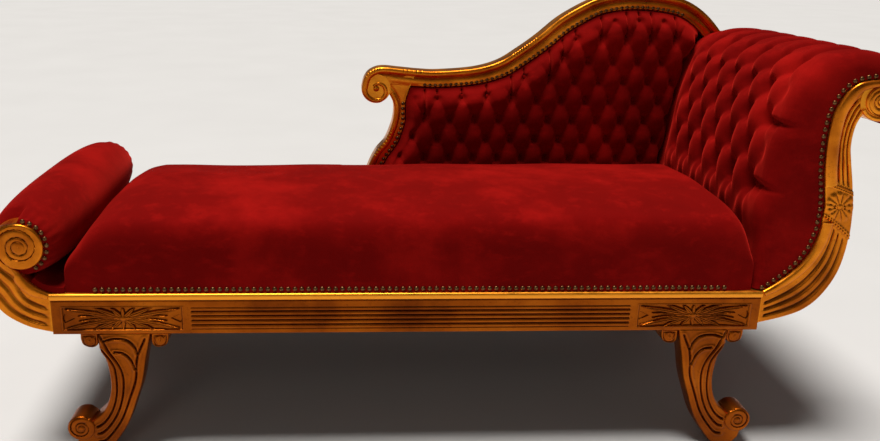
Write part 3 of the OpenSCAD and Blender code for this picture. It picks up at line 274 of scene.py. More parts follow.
# A board between two outlines, with a carved front: the relief is mm in front of its face
def board(outer, inner, relief, front, back, way=-1, nt=60, edge=3.0):
    core = 12
    t = steps(nt)
    s = travelled((outer + inner) / 2)
    rings = []
    for j in range(len(outer)):
        width = np.linalg.norm(outer[j] - inner[j])
        p = inner[j] + (outer[j] - inner[j]) * t[:, None]
        lift = relief(width * (1 - t), width * t, width, s[j], s[-1])
        lift = lift - rounding(width * (1 - t), edge) - rounding(width * t, edge)
        face = upright(p, front + way * lift)
        rear = upright(p[[-1, -1, 0, 0]], [front - way * core, back, back, front - way * core])
        rings.append(concatenate([face, rear]))
    return loft(rings)


# A half-round moulding to the left of a path, with nicks across its top where they are given
def bead(path, width, proud, y, way=-1, sides=12, nicks=None):
    root, nick_in = 3, 4
    a = linspace(0, pi, sides)
    n = normals(path)
    width, proud = (np.broadcast_to(v, len(path)) for v in (width, proud))
    rings = []
    for j in range(len(path)):
        off = -width[j] / 2 + width[j] / 2 * cos(a)
        p = path[j] + n[j] * off[:, None]
        lift = proud[j] * sin(a) ** 0.8
        if nicks:
            top = ramp((0.5 * width[j] + off) / nick_in) * sin(a)
            lift = lift - nicks(path[j], j / len(path)) * top
        rings.append(concatenate([upright(p, y + way * lift), upright(p[[-1, 0]], y - way * root)]))
    return loft(rings)


# A scroll's face: a band that winds inward, narrowing by the same ratio each turn
def volute(c, radius, start, way, y, front=-1, ratio=0.56, proud=7.0, depth=6.0, nr=44, na=144):
    eye_turns, eye_proud, rim_round, root = 2.35, 2.2, 4.0, 6
    rr, aa = np.meshgrid(
        maximum(radius * (1 - steps(nr) ** 1.15), 0.01), round_angles(na), indexing="ij")
    turn = (way * (aa - radians(start)) / (2 * pi)) % 1
    u = np.log(radius / rr) / np.log(1 / ratio)
    f = (u - turn) % 1
    f = where(u - turn < 0, 0.25 + 0.3 * f, f)
    band = half_round(2 * f - 1) ** 0.7
    eye = radius * ratio**eye_turns
    top = proud * (0.45 + 0.55 * (1 - rr / radius) * 0.5) + depth * (band - 0.6) * (rr / radius) ** 0.55
    top = where(rr < eye, proud * 0.8 + eye_proud * half_round(rr / eye), top)
    top = top - rounding(radius - rr, rim_round) * 1.2
    rings = stack([c[0] + rr * cos(aa), y + front * top, c[1] + rr * sin(aa)], 2)
    base = rings[:1].copy()
    base[:, :, 1] = y - front * root
    return loft(concatenate([base, rings]))


def drum(c, radius, y0, y1, n=72):
    return loft([upright(c + radius * unit(round_angles(n)), y) for y in (y0, y1)])


def grooves(f, centres, half, depth):
    lift = 0 * f
    for c in centres:
        d = np.abs(f - c) / half
        lift = lift - depth * where(d < 1, 0.5 + 0.5 * cos(pi * d), 0)
    return lift


# A pointed leaf from a point: its height over a field of places
def leaf(x, z, c, angle, long, wide, rise):
    a = radians(angle)
    p = (x - c[0]) * cos(a) + (z - c[1]) * sin(a)
    q = -(x - c[0]) * sin(a) + (z - c[1]) * cos(a)
    half = wide / 2 * sin(pi * clip(p / long, 0, 1)) ** 0.75 + 1e-6
    k = np.abs(q) / half
    vein = 0.35 * hump(q, 0.9) * (half > 2)
    inside = (p > 0) & (p < long) & (k < 1)
    return where(inside, rise * maximum(half_round(k) ** 0.8 - vein, 0), 0)


# Materials
def tree(name):
    m = bpy.data.materials.new(name)
    m.use_nodes = True
    return m, m.node_tree


def add(nt, kind, values, links):
    n = nt.nodes.new("ShaderNode" + kind)
    for key, v in values.items():
        n.inputs[key].default_value = v
    for key, v in links.items():
        nt.links.new(v, n.inputs[key])
    return n


def place(nt):
    return add(nt, "TexCoord", {}, {}).outputs["Object"]


def noise(nt, scale, detail=5.0, rough=0.55, stretch=(1, 1, 1)):
    mapping = add(nt, "Mapping", {"Scale": stretch}, {"Vector": place(nt)})
    values = {"Scale": scale, "Detail": detail, "Roughness": rough}
    return add(nt, "TexNoise", values, {"Vector": mapping.outputs["Vector"]}).outputs["Fac"]


def colours(nt, fac, stops):
    c = add(nt, "ValToRGB", {}, {"Fac": fac})
    el = c.color_ramp.elements
    el[0].position, el[0].color = stops[0][0], (*stops[0][1], 1)
    el[1].position, el[1].color = stops[-1][0], (*stops[-1][1], 1)
    for p, col in stops[1:-1]:
        el.new(p).color = (*col, 1)
    return c.outputs["Color"]


def mix(nt, a, b, fac):
    m = nt.nodes.new("ShaderNodeMix")
    m.data_type = "RGBA"
    for sock, v in ((m.inputs[0], fac), (m.inputs[6], a), (m.inputs[7], b)):
        if isinstance(v, (int, float)):
            sock.default_value = v
        elif isinstance(v, tuple):
            sock.default_value = (*v, 1)
        else:
            nt.links.new(v, sock)
    return m.outputs[2]


def remap(nt, fac, lo, hi, a, b):
    values = {"From Min": lo, "From Max": hi, "To Min": a, "To Max": b}
    return add(nt, "MapRange", values, {"Value": fac}).outputs["Result"]


# Sets the shader: what comes from a node is linked, and what is the same all over is set on its socket
def shade(nt, layers, **inputs):
    links = {}
    for fac, strength, distance in layers:
        b = add(nt, "Bump", {"Strength": strength, "Distance": distance}, {"Height": fac, **links})
        links = {"Normal": b.outputs["Normal"]}
    bsdf = nt.nodes["Principled BSDF"]
    for key, v in {**inputs, **links}.items():
        socket = bsdf.inputs[key.replace("_", " ")]
        if isinstance(v, (float, tuple)):
            socket.default_value = v
        else:
            nt.links.new(v, socket)


def toned(colour, share):
    return tuple(min(1, share * v) for v in colour)


# Gold leaf: patches and specks of wear, painted shade in its hollows and a painted highlight on its sharp
# edges, and where given a brighter top
def gilt(name, light, mid, dark, rough, top=None):
    m, nt = tree(name)
    patches = colours(nt, noise(nt, 7, 6), [(0.3, dark), (0.5, mid), (0.72, light)])
    specks = remap(nt, noise(nt, 160, 8, 0.7), 0.56, 0.7, 0, 0.55)
    worn = mix(nt, patches, toned(dark, 0.45), specks)
    edges = add(nt, "NewGeometry", {}, {}).outputs["Pointiness"]
    # Painted shade: concave places, found by pointiness, turn dark brown
    col = mix(nt, worn, (0.09, 0.022, 0.003), remap(nt, edges, 0.44, 0.5, 1, 0))
    # Painted highlight: sharp convex edges, found by pointiness, turn a brighter gold than the lightest
    # tone
    col = mix(nt, col, toned(light, 1.25), remap(nt, edges, 0.52, 0.6, 0, 0.6))
    if top:
        xyz = add(nt, "SeparateXYZ", {}, {"Vector": place(nt)})
        line = [(LEG_H + RAIL_H - BEAD_W + d) * MM for d in (-1, 1)]
        col = mix(nt, col, top, remap(nt, xyz.outputs["Z"], *line, 0, 0.9))
    dull = remap(nt, noise(nt, 30, 6), 0.3, 0.7, rough - 0.08, rough + 0.12)
    layers = [(noise(nt, 55, 5), 0.18, 0.001), (noise(nt, 420, 4, 0.6, (1, 1, 0.3)), 0.12, 0.0004)]
    shade(nt, layers, Base_Color=col, Roughness=dull, Metallic=0.95)
    return m


def velvet(name, base, nap):
    m, nt = tree(name)
    broad, marks = noise(nt, 4.5, 5, 0.6), noise(nt, 26, 6, 0.65, (1, 1, 2))
    col = colours(nt, broad, [(0.25, toned(base, 0.7)), (0.5, base), (0.75, nap)])
    col = mix(nt, col, nap, remap(nt, marks, 0.52, 0.75, 0, 0.5))
    fibre = noise(nt, 1300, 3, 0.7)
    col = mix(nt, col, toned(base, 0.4), remap(nt, fibre, 0.35, 0.65, 0.35, 0))
    shade(
        nt, [(marks, 0.12, 0.0015), (fibre, 0.25, 0.0004)], Base_Color=col, Roughness=0.88,
        Specular_IOR_Level=0.03, Sheen_Weight=0.45, Sheen_Roughness=0.5, Sheen_Tint=(1.0, 0.04, 0.025, 1))
    return m


def timber(name, light, dark):
    m, nt = tree(name)
    grain, fine = noise(nt, 16, 8, 0.65, (1, 14, 14)), noise(nt, 90, 6, 0.7, (1, 9, 9))
    col = colours(nt, grain, [(0.3, dark), (0.7, light)])
    col = mix(nt, col, dark, remap(nt, fine, 0.5, 0.75, 0, 0.5))
    layers = [(grain, 0.2, 0.0008), (fine, 0.2, 0.0004)]
    shade(nt, layers, Base_Color=col, Roughness=remap(nt, fine, 0.3, 0.7, 0.5, 0.72))
    return m


def woven(name, light, dark, pitch):
    m, nt = tree(name)
    threads = []
    for way in ("X", "Y"):
        t = add(nt, "TexWave", {"Scale": 0.31 / pitch, "Distortion": 1.5}, {"Vector": place(nt)})
        t.wave_type, t.bands_direction = "BANDS", way
        threads.append(t.outputs["Fac"])
    weave = mix(nt, *threads, 0.5)
    col = colours(nt, weave, [(0.2, dark), (0.7, light)])
    col = mix(nt, col, dark, remap(nt, noise(nt, 20, 5), 0.45, 0.75, 0, 0.6))
    shade(nt, [(weave, 0.5, 0.0006)], Base_Color=col, Roughness=0.9)
    return m


def metal(name, light, dark, rough):
    m, nt = tree(name)
    spots = noise(nt, 240, 6, 0.65)
    col = colours(nt, spots, [(0.35, dark), (0.62, light)])
    dull = remap(nt, spots, 0.3, 0.7, rough + 0.15, rough)
    shade(nt, [(noise(nt, 900, 3), 0.15, 0.0002)], Base_Color=col, Roughness=dull, Metallic=1.0)
    return m


BY_SLOT = {
    "gilt_wood": gilt("antique_gilt", (0.95, 0.34, 0.022), (0.7, 0.2, 0.009), (0.36, 0.08, 0.003), 0.32),
    "dark_gilt_wood": gilt(
        "antique_gilt_dark", (0.44, 0.11, 0.005), (0.31, 0.065, 0.002), (0.15, 0.026, 0.001), 0.36,
        (0.98, 0.36, 0.026)),
    "velvet": velvet("crimson_velvet", (0.16, 0.0012, 0.001), (0.34, 0.005, 0.0035)),
    "nail_brass": metal("nail_brass", (0.2, 0.1, 0.04), (0.06, 0.026, 0.01), 0.32),
    "screw_steel": metal("screw_steel", (0.55, 0.55, 0.55), (0.25, 0.25, 0.25), 0.35),
    "frame_wood": timber("bare_hardwood", (0.5, 0.33, 0.17), (0.32, 0.19, 0.08)),
    "black_lining": woven("black_lining", (0.03, 0.03, 0.03), (0.012, 0.012, 0.012), 0.0012),
    "jute_webbing": woven("jute_webbing", (0.42, 0.3, 0.16), (0.2, 0.13, 0.06), 0.003),
    "hessian": woven("hessian", (0.46, 0.34, 0.19), (0.22, 0.15, 0.08), 0.002),
    "foam": velvet("foam", (0.6, 0.5, 0.28), (0.68, 0.58, 0.34)),
}
for part in frame["record"]["subparts"]:
    cad = frame["nodes"][part["node"]]
    cad.data.materials.clear()
    cad.data.materials.append(BY_SLOT[part["material_slot"]])


# Pieces: edges that turn by more than the angle stay sharp
def piece(name, mesh, slot, nodes, angle=38):
    verts, faces = mesh
    me = bpy.data.meshes.new(name)
    me.from_pydata((np.asarray(verts) * MM).tolist(), [], faces)
    bm = bmesh.new()
    bm.from_mesh(me)
    bmesh.ops.remove_doubles(bm, verts=bm.verts, dist=2e-6)
    bmesh.ops.recalc_face_normals(bm, faces=bm.faces)
    for f in bm.faces:
        f.smooth = True
    for g in bm.edges:
        if len(g.link_faces) == 2 and g.calc_face_angle(0) > radians(angle):
            g.smooth = False
    bm.to_mesh(me)
    bm.free()
    o = bpy.data.objects.new(name, me)
    bpy.context.scene.collection.objects.link(o)
    me.materials.append(BY_SLOT[slot])
    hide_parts(*nodes)
    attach(o, "root")
    return o


def pad(name, mesh, nodes, angle=60):
    piece(name, mesh, "velvet", nodes, angle)


# Front rail: bead, two carved panels and the reeds between them
PANEL_XS = (FOOT_X + PANEL_IN, HEAD_X - PANEL_IN)
PANEL_MID = PANEL_LOW + PANEL_H / 2
PANEL_EDGE, PANEL_REST, REEDS = 1.6, 17, 5
REED_X0, REED_X1 = PANEL_XS[0] + PANEL_L / 2 + PANEL_REST, PANEL_XS[1] - PANEL_L / 2 - PANEL_REST
# Each leaf's angle, length and width, and the panel's round eye and end notches
LEAVES = ((10.5, 119, 10), (3.6, 92, 6), (22, 66, 10), (44, 34, 9))
LEAF_RISE, UPRIGHT_LEAF_W, UPRIGHT_LEAF_RISE = 5.2, 8, 4.6
EYE_R, EYE_BASE, EYE_RISE = 6, 3.5, 3.2
NOTCH_L, NOTCH_HALF, NOTCH_DEEP = 24, 12, 2.6


def panel_carving(x, z, cx):
    c = (cx, PANEL_MID)
    leaves = np.zeros(x.shape)
    for side in (0, 180):
        for up in (-1, 1):
            for a, long, wide in LEAVES:
                leaves = maximum(leaves, leaf(x, z, c, side + up * a, long, wide, LEAF_RISE))
    for a in (90, -90):
        tall = leaf(x, z, c, a, PANEL_H / 2 - 1, UPRIGHT_LEAF_W, UPRIGHT_LEAF_RISE)
        leaves = maximum(leaves, tall)
    eye = np.hypot(x - cx, z - PANEL_MID) / EYE_R
    leaves = where(eye < 1, maximum(leaves, EYE_BASE + EYE_RISE * half_round(eye)), leaves)
    rest = np.abs(x - cx) - PANEL_L / 2
    open_half = NOTCH_HALF * clip(-rest / 4, 0, 1) * (rest + NOTCH_L) / NOTCH_L
    notch = ((rest > -NOTCH_L) & (np.abs(z - PANEL_MID) < open_half)).astype(float)
    rise = ramp((np.abs(x - cx) - PANEL_L / 2 * 0.55) / 30)
    return leaves - PANEL_SINK - 1.0 + NOTCH_DEEP * (1 - notch) * rise


def rail_relief(x, z):
    beaded = np.abs(z - (RAIL_H - BEAD_W / 2)) / (BEAD_W / 2)
    lift = where(beaded < 1, BEAD_PROUD * half_round(beaded) ** 0.8, -rounding(z, 3.0))
    lift = lift - 1.6 * hump(z - RAIL_H + BEAD_W + 1.2, 1.3)
    zp = z - PANEL_LOW
    inside_z = ramp(zp / PANEL_EDGE) * ramp((PANEL_H - zp) / PANEL_EDGE)
    for cx in PANEL_XS:
        past = np.abs(x - cx) - PANEL_L / 2
        inside = inside_z * ramp(-past / PANEL_EDGE)
        lift = lift * (1 - inside) + panel_carving(x, z, cx) * inside
        lift = lift + 0.9 * hump(maximum(past, np.abs(z - PANEL_MID) - PANEL_H / 2) - 1.4, 0.9)
    k = (zp / (PANEL_H / REEDS)) % 1
    reed = -PANEL_SINK - 0.6 + (PANEL_SINK + 1.2) * half_round(2 * k - 1) ** 0.9
    inside = inside_z * ramp((x - REED_X0) / 2.5) * ramp((REED_X1 - x) / 2.5)
    return lift * (1 - inside) + reed * inside


def front_rail():
    xs = [linspace(FOOT_X, PANEL_XS[0] - PANEL_L / 2 - 6, 6)]
    xs += [linspace(cx - PANEL_L / 2 - 5, cx + PANEL_L / 2 + 5, 230) for cx in PANEL_XS]
    xs += [REED_X0 + array([-2, 0, 1, 2, 3]), linspace(REED_X0 + 5, REED_X1 - 5, 60)]
    xs += [REED_X1 - array([3, 2, 1, 0, -2]), linspace(PANEL_XS[1] + PANEL_L / 2 + 6, HEAD_X, 6)]
    z = concatenate([linspace(0, 4, 6), linspace(4, 70, 84), linspace(70, RAIL_H, 30)])
    z = np.unique(z)
    rings = []
    for x in np.unique(np.round(concatenate(xs), 3)):
        row = np.full(len(z), x)
        face = stack([row, FACE_Y - rail_relief(row, z), LEG_H + z], 1)
        rear = [[x, BOARD_IN_Y, LEG_H + RAIL_H], [x, BOARD_IN_Y, LEG_H]]
        rings.append(concatenate([face, rear]))
    return loft(rings)


piece("front_rail_carved", front_rail(), "dark_gilt_wood", ["front_seat_rail"], 50)


# An arm board's carved face, its other face, and the way that its carving stands out
def board_planes(front):
    return (FACE_Y, BOARD_IN_Y, -1) if front else (BACK_Y, BACK_IN_Y, 1)


def disc_end(c, radius, planes, scroll_r, start, *shape):
    y, back, way = planes
    face = volute(c, scroll_r, start, -1, y, way, *shape)
    return [drum(c, radius, y + way * DRUM_PROUD, back - way * DRUM_PROUD), face]


GROOVE_HALF, MOULDING_SIDES = 0.085, 16


# Foot arms: a band with three grooves that passes outside the scroll and turns over it
def foot_arm(front):
    y, back, way = board_planes(front)
    split, outer_split = 0.44, 0.46
    shares = steps(50)
    ring = arc(FOOT_C, FOOT_DISC_R - 1, -59.7, 90, 40)
    a = chained(foot_inner, ring, shares, (0, split), (0, 1))
    b = at_shares(foot_outer, interp(shares, (0, split, 1), (0, outer_split, 1)))

    def relief(d_out, d_in, width, s, total):
        f = d_out / maximum(width - 20 * (1 - ramp((s - 50) / 60)), 8)
        carved = grooves(f, (0.24, 0.5, 0.76), GROOVE_HALF, 4.0)
        return carved * ramp((s - 6) / 10) * ramp((total - s) / 70)

    parts = [board(at_foot(b), at_foot(a), relief, y, back, way)]
    if front:
        along = steps(60)
        wide = (BEAD_W + 7 * ramp(along * 3)) * (1 - 0.8 * ramp((along - 0.6) / 0.4))
        proud = (BEAD_PROUD + 3.5 * ramp(along * 3)) * (1 - 0.6 * ramp((along - 0.7) / 0.3))
        path = at_foot(at_shares(foot_inner, along))
        parts.append(bead(path[::-1], wide[::-1], proud[::-1], y, way, MOULDING_SIDES))
    return joined(parts + disc_end(at_foot(FOOT_C[None])[0], FOOT_DISC_R, (y, back, way), FOOT_DISC_R, 240))


piece("front_foot_arm_carved", foot_arm(True), "gilt_wood", ["front_foot_arm"])
piece("back_foot_arm_carved", foot_arm(False), "gilt_wood", ["back_foot_arm"])

# Head arms: bead on the inside, three flutes, and a carved block part way up
BLOCK_SHARES = (0.352, 0.492)
INNER_KNOTS, OUTER_KNOTS = (0, 0.244, 0.44, 0.628, 0.756), (0, 0.366, 0.66, 0.857, 1.0)
PETALS, FLOWER_R, FLOWER_EYE_R = 6, 36, 4.5


def block_carving(px, pz, edge):
    rad, ang = np.hypot(px, pz), np.arctan2(pz, px)
    petal = np.abs(cos(ang * PETALS)) ** 0.5
    flower = 2.0 + 3.0 * petal * ramp(rad / 8) * ramp((FLOWER_R - rad) / 10)
    flower = where(rad < FLOWER_EYE_R, 5.5, flower)
    return flower + 2.4 * hump(edge - 3, 1.6) + 2.4 * hump(edge - 8.5, 1.6)


def head_arm(front):
    y, back, way = board_planes(front)
    tail = linspace(head_outer[-1], HEAD_C, 12)
    shares = steps(260)
    a = at_shares(head_inner, shares)
    b = chained(head_outer, tail, shares, INNER_KNOTS, OUTER_KNOTS)
    low, high = interp(BLOCK_SHARES, shares, travelled((a + b) / 2))

    def relief(d_out, d_in, width, s, total):
        f = d_out / maximum(width - 22, 8)
        q = s + (d_in / width - 0.5) * 30
        block = ramp((q - low) / 3) * ramp((high - q) / 3)
        ends = 1 - ramp((q - low + 10) / 6) * ramp((high + 10 - q) / 6)
        flutes = grooves(f, (0.26, 0.52, 0.78), GROOVE_HALF, 4.2)
        lift = flutes * ramp((s - 6) / 8) * ends * ramp((0.93 * total - s) / 20)
        if not front:
            return lift
        flower = block_carving(d_in - width / 2, s - (low + high) / 2, minimum(q - low, high - q))
        return lift * (1 - block) + flower * block

    parts = [board(at_head(b), at_head(a), relief, y, back, way)]
    n, root, curl_n = 70, 8, 49
    for s0, s1 in ((0.0, BLOCK_SHARES[0]), (BLOCK_SHARES[1], 1.0)) if front else ((0.0, 1.0),):
        p = at_shares(head_inner, linspace(s0, s1, n))
        wide = 18 + 8 * ramp(linspace(s0, s1, n) * 2)
        if s0 == 0:
            wide = where(np.arange(n) < root, BEAD_W + 3 * np.arange(n) / root, wide)
        proud = np.full(n, 7.5)
        if s1 == 1:
            wide = wide * (1 - 0.45 * ramp(linspace(-2, 1, n)))
            p = concatenate([p, arc(HEAD_C, HEAD_DISC_R, 90, -150, curl_n + 1)[1:]])
            wide = concatenate([wide, linspace(wide[-1], 9, curl_n)])
            proud = concatenate([proud, linspace(7.5, 5, curl_n)])
        parts.append(bead(at_head(p), wide, proud, y, way, MOULDING_SIDES))
    c = at_head(HEAD_C[None])[0]
    return joined(parts + disc_end(c, HEAD_DISC_R, (y, back, way), HEAD_DISC_R - 11, -60, 0.55, 5))


piece("front_head_arm_carved", head_arm(True), "gilt_wood", ["front_head_arm"])
piece("back_head_arm_carved", head_arm(False), "gilt_wood", ["back_head_arm"])


# Legs, in shares of the top's width, of the kick and of the height
def leg_points(shares):
    return array([[q[0] * LEG_TOP_W + q[1] * LEG_KICK, q[2] * LEG_H] for q in shares])


TOE = array([LEG_KICK, -0.786 * LEG_H])
leg_outer = concatenate([smooth(leg_points([
    [0.5, 0, 0], [0.5, 0, -0.11], [0.4, 0, -0.2], [0.352, 0, -0.29], [0.33, 0, -0.42],
    [0.3, 0.085, -0.54], [0.2, 0.3, -0.635], [0.15, 0.5, -0.69], [0.1, 0.68, -0.735]])), [TOE]])
leg_inner = smooth(leg_points([
    [-0.5, 0, 0], [-0.475, 0, -0.06], [-0.39, 0, -0.2], [-0.3, 0, -0.385], [-0.2, 0.02, -0.53],
    [-0.1, 0.16, -0.77], [0, 0.4, -0.96], [0, 0.52, -1]]))
leg_sole = leg_points([[0, 0.52, -1], [0, 0.74, -1], [0, 0.96, -1], [0, 1.07, -0.955], [0, 1.12, -0.88]])
# Carved lines down a leg: each is a row of places, as share across from the inside and mm down
LEG_LINES = (
    ((0.97, 4), (0.86, 30), (0.76, 58), (0.58, 94), (0.5, 132), (0.5, 190), (0.55, 260)),
    ((0.96, 42), (0.86, 72), (0.79, 92), (0.73, 150), (0.72, 200), (0.75, 260)),
    ((0.1, 10), (0.2, 55), (0.19, 100), (0.25, 150), (0.28, 200), (0.32, 260)),
    ((0.88, 18), (0.7, 11), (0.45, 13), (0.28, 26), (0.2, 40)),
    ((0.68, 44), (0.5, 44), (0.35, 54), (0.24, 72)),
)
LINE_DEEP, LINE_HALF, LIP_RISE, LIP_OUT, LIP_HALF, LEG_ROUND = 3.6, 1.9, 1.5, 5, 3, 6


def line_distance(a, b, row):
    far = np.full(len(a), 1e3)
    for p, q in zip(row[:-1], row[1:]):
        d = array(q) - p
        t = clip(((a - p[0]) * d[0] + (b - p[1]) * d[1]) / (d @ d), 0, 1)
        far = minimum(far, np.hypot(a - p[0] - t * d[0], b - p[1] - t * d[1]))
    return far


def leg(x, y, way):
    n, n_sole = 170, 31
    outer = at_shares(leg_outer, steps(n))
    sole = at_shares(leg_sole, steps(n_sole))[1:]
    inner = concatenate([at_shares(leg_inner, steps(n - n_sole + 1)), sole])
    s = travelled((outer + inner) / 2)
    t = steps(64)
    lines = [smooth(row, 4) for row in LEG_LINES]
    rings = []
    for j in range(n):
        width = np.linalg.norm(outer[j] - inner[j])
        p = inner[j] + (outer[j] - inner[j]) * t[:, None]
        fade = ramp((0.95 - s[j] / s[-1]) / 0.08)
        lift = -rounding(width * t, LEG_ROUND) - rounding(width * (1 - t), LEG_ROUND)
        for row in lines:
            d = line_distance(t * width, np.full(len(t), s[j]), row * [width, 1])
            lift = lift - fade * (LINE_DEEP * hump(d, LINE_HALF) - LIP_RISE * hump(d - LIP_OUT, LIP_HALF))
        p, out = placed(x, way)(p), LEG_T / 2 + lift
        rings.append(concatenate([upright(p, y - out), upright(p, y + out)[::-1]]))
    c = array([x + way * TOE[0], LEG_H + TOE[1]])
    parts = [loft(rings), drum(c, TOE_R, y - LEG_T / 2, y + LEG_T / 2)]
    for front in (-1, 1):
        face = y + front * LEG_T / 2
        parts.append(volute(c, TOE_R, 130 if way > 0 else 50, -way, face, front, 0.5, 4, 6.5, 36, 110))
    return joined(parts)


leg_xs = {"foot": (FOOT_X + 144, -1), "head": (HEAD_X - 118, 1)}
leg_ys = {"front": FACE_Y + 22.5, "back": BACK_Y - 22.5}
for side, y in leg_ys.items():
    for end, (x, way) in leg_xs.items():
        name = f"{side}_{end}_leg"
        piece(name + "_carved", leg(x, y, way), "dark_gilt_wood", [name])

# Ears beside the legs: their outline as shares, and the rings of their rounded, dished face
EAR_W, EAR_MID, EAR_H, EAR_GAP, EAR_FACE = 35, 17, 31, 1.5, 17.5
EAR_SHARES = [[0, 0], [0, 0.7], [0.2, 0.98], [0.55, 1], [0.88, 0.8], [1, 0.4], [1, 0]]
EAR_RINGS = (
    (1.0, 19.5), (1.0, -17.0), (0.97, -18.6), (0.9, -19.5), (0.8, -19.0), (0.72, -17.8),
    (0.62, -19.4), (0.45, -20.2), (0.2, -20.6))


def ears(y):
    q = smooth(scaled(EAR_SHARES, EAR_W, -EAR_H), 6)
    q = concatenate([q, [[EAR_MID, 0]]])
    c = q.mean(0)
    parts = []
    root = LEG_TOP_W / 2 + EAR_GAP
    for x, _ in leg_xs.values():
        for s in (-1, 1):
            at_ear = placed(x + s * root, s)
            parts.append(loft([upright(at_ear(c + (q - c) * share), y + d) for share, d in EAR_RINGS]))
            curl = at_ear(array([[EAR_MID, -EAR_H / 2]]))[0]
            for front, face in ((-1, y - EAR_FACE), (1, y + EAR_FACE + 1)):
                parts.append(volute(curl, 13, 90 - 60 * s, s, face, front, 0.45, 3.5, 4, 24, 60))
    return joined(parts)


for side, y in leg_ys.items():
    piece(f"{side}_leg_ears_carved", ears(y), "dark_gilt_wood", [f"{side}_leg_ears"])


# Crest rail and stile, each with a raised rim on its outside; the crest's rim turns into its end scroll
def nick_rows(places, half=1.2, deep=2.2):
    return lambda v: deep * sum(hump(v - at, half) for at in places)


CREST_NICKS = nick_rows([-92, -86, -79, -71, -63, -55, 10, 22, 34, 46, 58] + list(range(306, 372, 6)))
STILE_NICKS = nick_rows(range(238, 304, 8))
RIM_SIDES, CREST_RIM_W, CREST_RIM_PROUD, STILE_RIM_W, STILE_RIM_PROUD = 14, 17.0, 6.0, 15.0, 5.5
SCROLL_START, SCROLL_END, SCROLL_HOLD, SCROLL_IN = 500, 180, 285, 27
CREST_EYE_R, CREST_EYE_PROUD, STILE_SET = 8.5, 4.5, 0.8


def crest():
    shares = steps(260)
    outer = at_shares(crest_all, shares)
    k = ramp(shares / 0.16)[:, None]
    inner = (CREST_C + (outer - CREST_C) * 0.12) * (1 - k) + moved(outer, -CREST_W) * k

    def relief(d_out, d_in, width, s, total):
        lift = 1.8 * hump(d_in - 4, 2.6) * ramp((s - 150) / 30)
        lift = lift - 2.4 * hump(d_out - 19.5, 2.6) * ramp((s - 4) / 10)
        return lift + 1.2 * sin(pi * clip((d_out - 21) / 20, 0, 1)) * ramp((s - 60) / 40)

    parts = [board(at_middle(outer), at_middle(inner), relief, BACK_IN_Y, BACK_Y, -1, 46, 4)]
    c = at_middle(CREST_C[None])[0]
    parts.append(drum(c, CREST_DISC_R - 1, BACK_IN_Y - DRUM_PROUD, BACK_Y + DRUM_PROUD))
    n, n_run = 120, 900
    turn = linspace(SCROLL_START, SCROLL_END, n, endpoint=False)
    closing = ramp((turn - SCROLL_HOLD) / (SCROLL_START - SCROLL_HOLD)) ** 0.8
    spiral = CREST_C + (CREST_DISC_R - SCROLL_IN * closing)[:, None] * unit(radians(turn))
    path = at_middle(concatenate([spiral, at_shares(crest_all, steps(n_run))]))
    wide = concatenate([linspace(7, 16, n), np.full(n_run, CREST_RIM_W)])
    proud = concatenate([linspace(3.5, 6, n), np.full(n_run, CREST_RIM_PROUD)])

    def nicks(q, share):
        return CREST_NICKS(q[0] - MID_X) * (share > 0.118)

    parts.append(bead(path, wide, proud, BACK_IN_Y, -1, RIM_SIDES, nicks))
    bent = radians([0, 30, 60, 85])
    circles = [at_middle(arc(CREST_C, CREST_EYE_R * cos(t), 0, 345, 24)) for t in bent]
    rings = [upright(q, BACK_IN_Y - CREST_EYE_PROUD * sin(t)) for q, t in zip(circles, bent)]
    return joined(parts + [loft([rings[0] + [0, 3, 0]] + rings)])


piece("crest_rail_moulded", crest(), "gilt_wood", ["crest_rail"])


def stile():
    outer, inner = at_shares(stile_outer, steps(70)), at_shares(stile_inner, steps(70))
    outer = concatenate([[CREST_C + [-4, 4]], outer, [[outer[-1][0], RAIL_H]]])
    inner = concatenate([[[46, CREST_LOW - 4]], inner, [[inner[-1][0], RAIL_H]]])

    def relief(d_out, d_in, width, s, total):
        return 1.6 * hump(d_in - 3.5, 2.4) - 2.2 * hump(d_out - 17, 2.4)

    y0, y1 = BACK_IN_Y + STILE_SET, BACK_Y - STILE_SET
    parts = [board(at_middle(outer), at_middle(inner), relief, y0, y1, -1, 36, 3)]
    path = at_middle(at_shares(outer[2:-1], steps(300)))[::-1]
    rim = STILE_RIM_W, STILE_RIM_PROUD, BACK_IN_Y, -1, RIM_SIDES
    parts.append(bead(path, *rim, lambda q, share: STILE_NICKS(q[1] - LEG_H)))
    return joined(parts)


piece("back_stile_moulded", stile(), "gilt_wood", ["back_stile"])


# The head pad in pairs of places: on the frame, and outside of the padding
PAD_FOOT, PAD_SHARES = 22, [
    [-0.0955, 0.2], [-0.094, 0.27], [-0.089, 0.345], [-0.065, 0.42], [-0.037, 0.5], [-0.016, 0.57],
    [0, 0.63], [0.015, 0.69], [0.036, 0.755], [0.069, 0.818], [0.105, 0.876], [0.147, 0.93],
    [0.19, 0.968], [0.25, 1.005], [0.37, 1.046], [0.51, 1.064], [0.67, 1.067]]
PAD_STEPS = [4, 9, 15, 20, 26, 32, 37, 42, 46, 51, 55, 59, 62, 65, 69, 72, 74]
# Over the roll, as shares of the disc's radius and of the padding's
ROLL_SHARES = (
    ((0.5, 0.93), (0.62, 0.9)), ((0.9, 0.54), (0.93, 0.5)), ((1.05, 0), (1, -0.02)),
    ((0.9, -0.54), (0.88, -0.5)), ((0.5, -0.93), (0.5, -0.86)))
N_TO_CROWN = 15


def pad_pairs():
    near, far = HEAD_DISC_R + PAD_GAP, HEAD_DISC_R + HEAD_PAD_OUT
    base, inside = head_inner[0][1] + PAD_GAP, moved(head_inner, PAD_GAP)
    rows = [([0, base], [-PAD_FOOT, base])]
    rows += zip(inside[PAD_STEPS], scaled(PAD_SHARES, HEAD_REACH, HEAD_RISE))
    rows.append((HEAD_C + near * array([0.04, 1.06]), [0.82 * HEAD_REACH, 1.057 * HEAD_RISE]))
    rows += [(HEAD_C + near * array(a), HEAD_C + far * array(b)) for a, b in ROLL_SHARES]
    return array([concatenate(row) for row in rows], float)


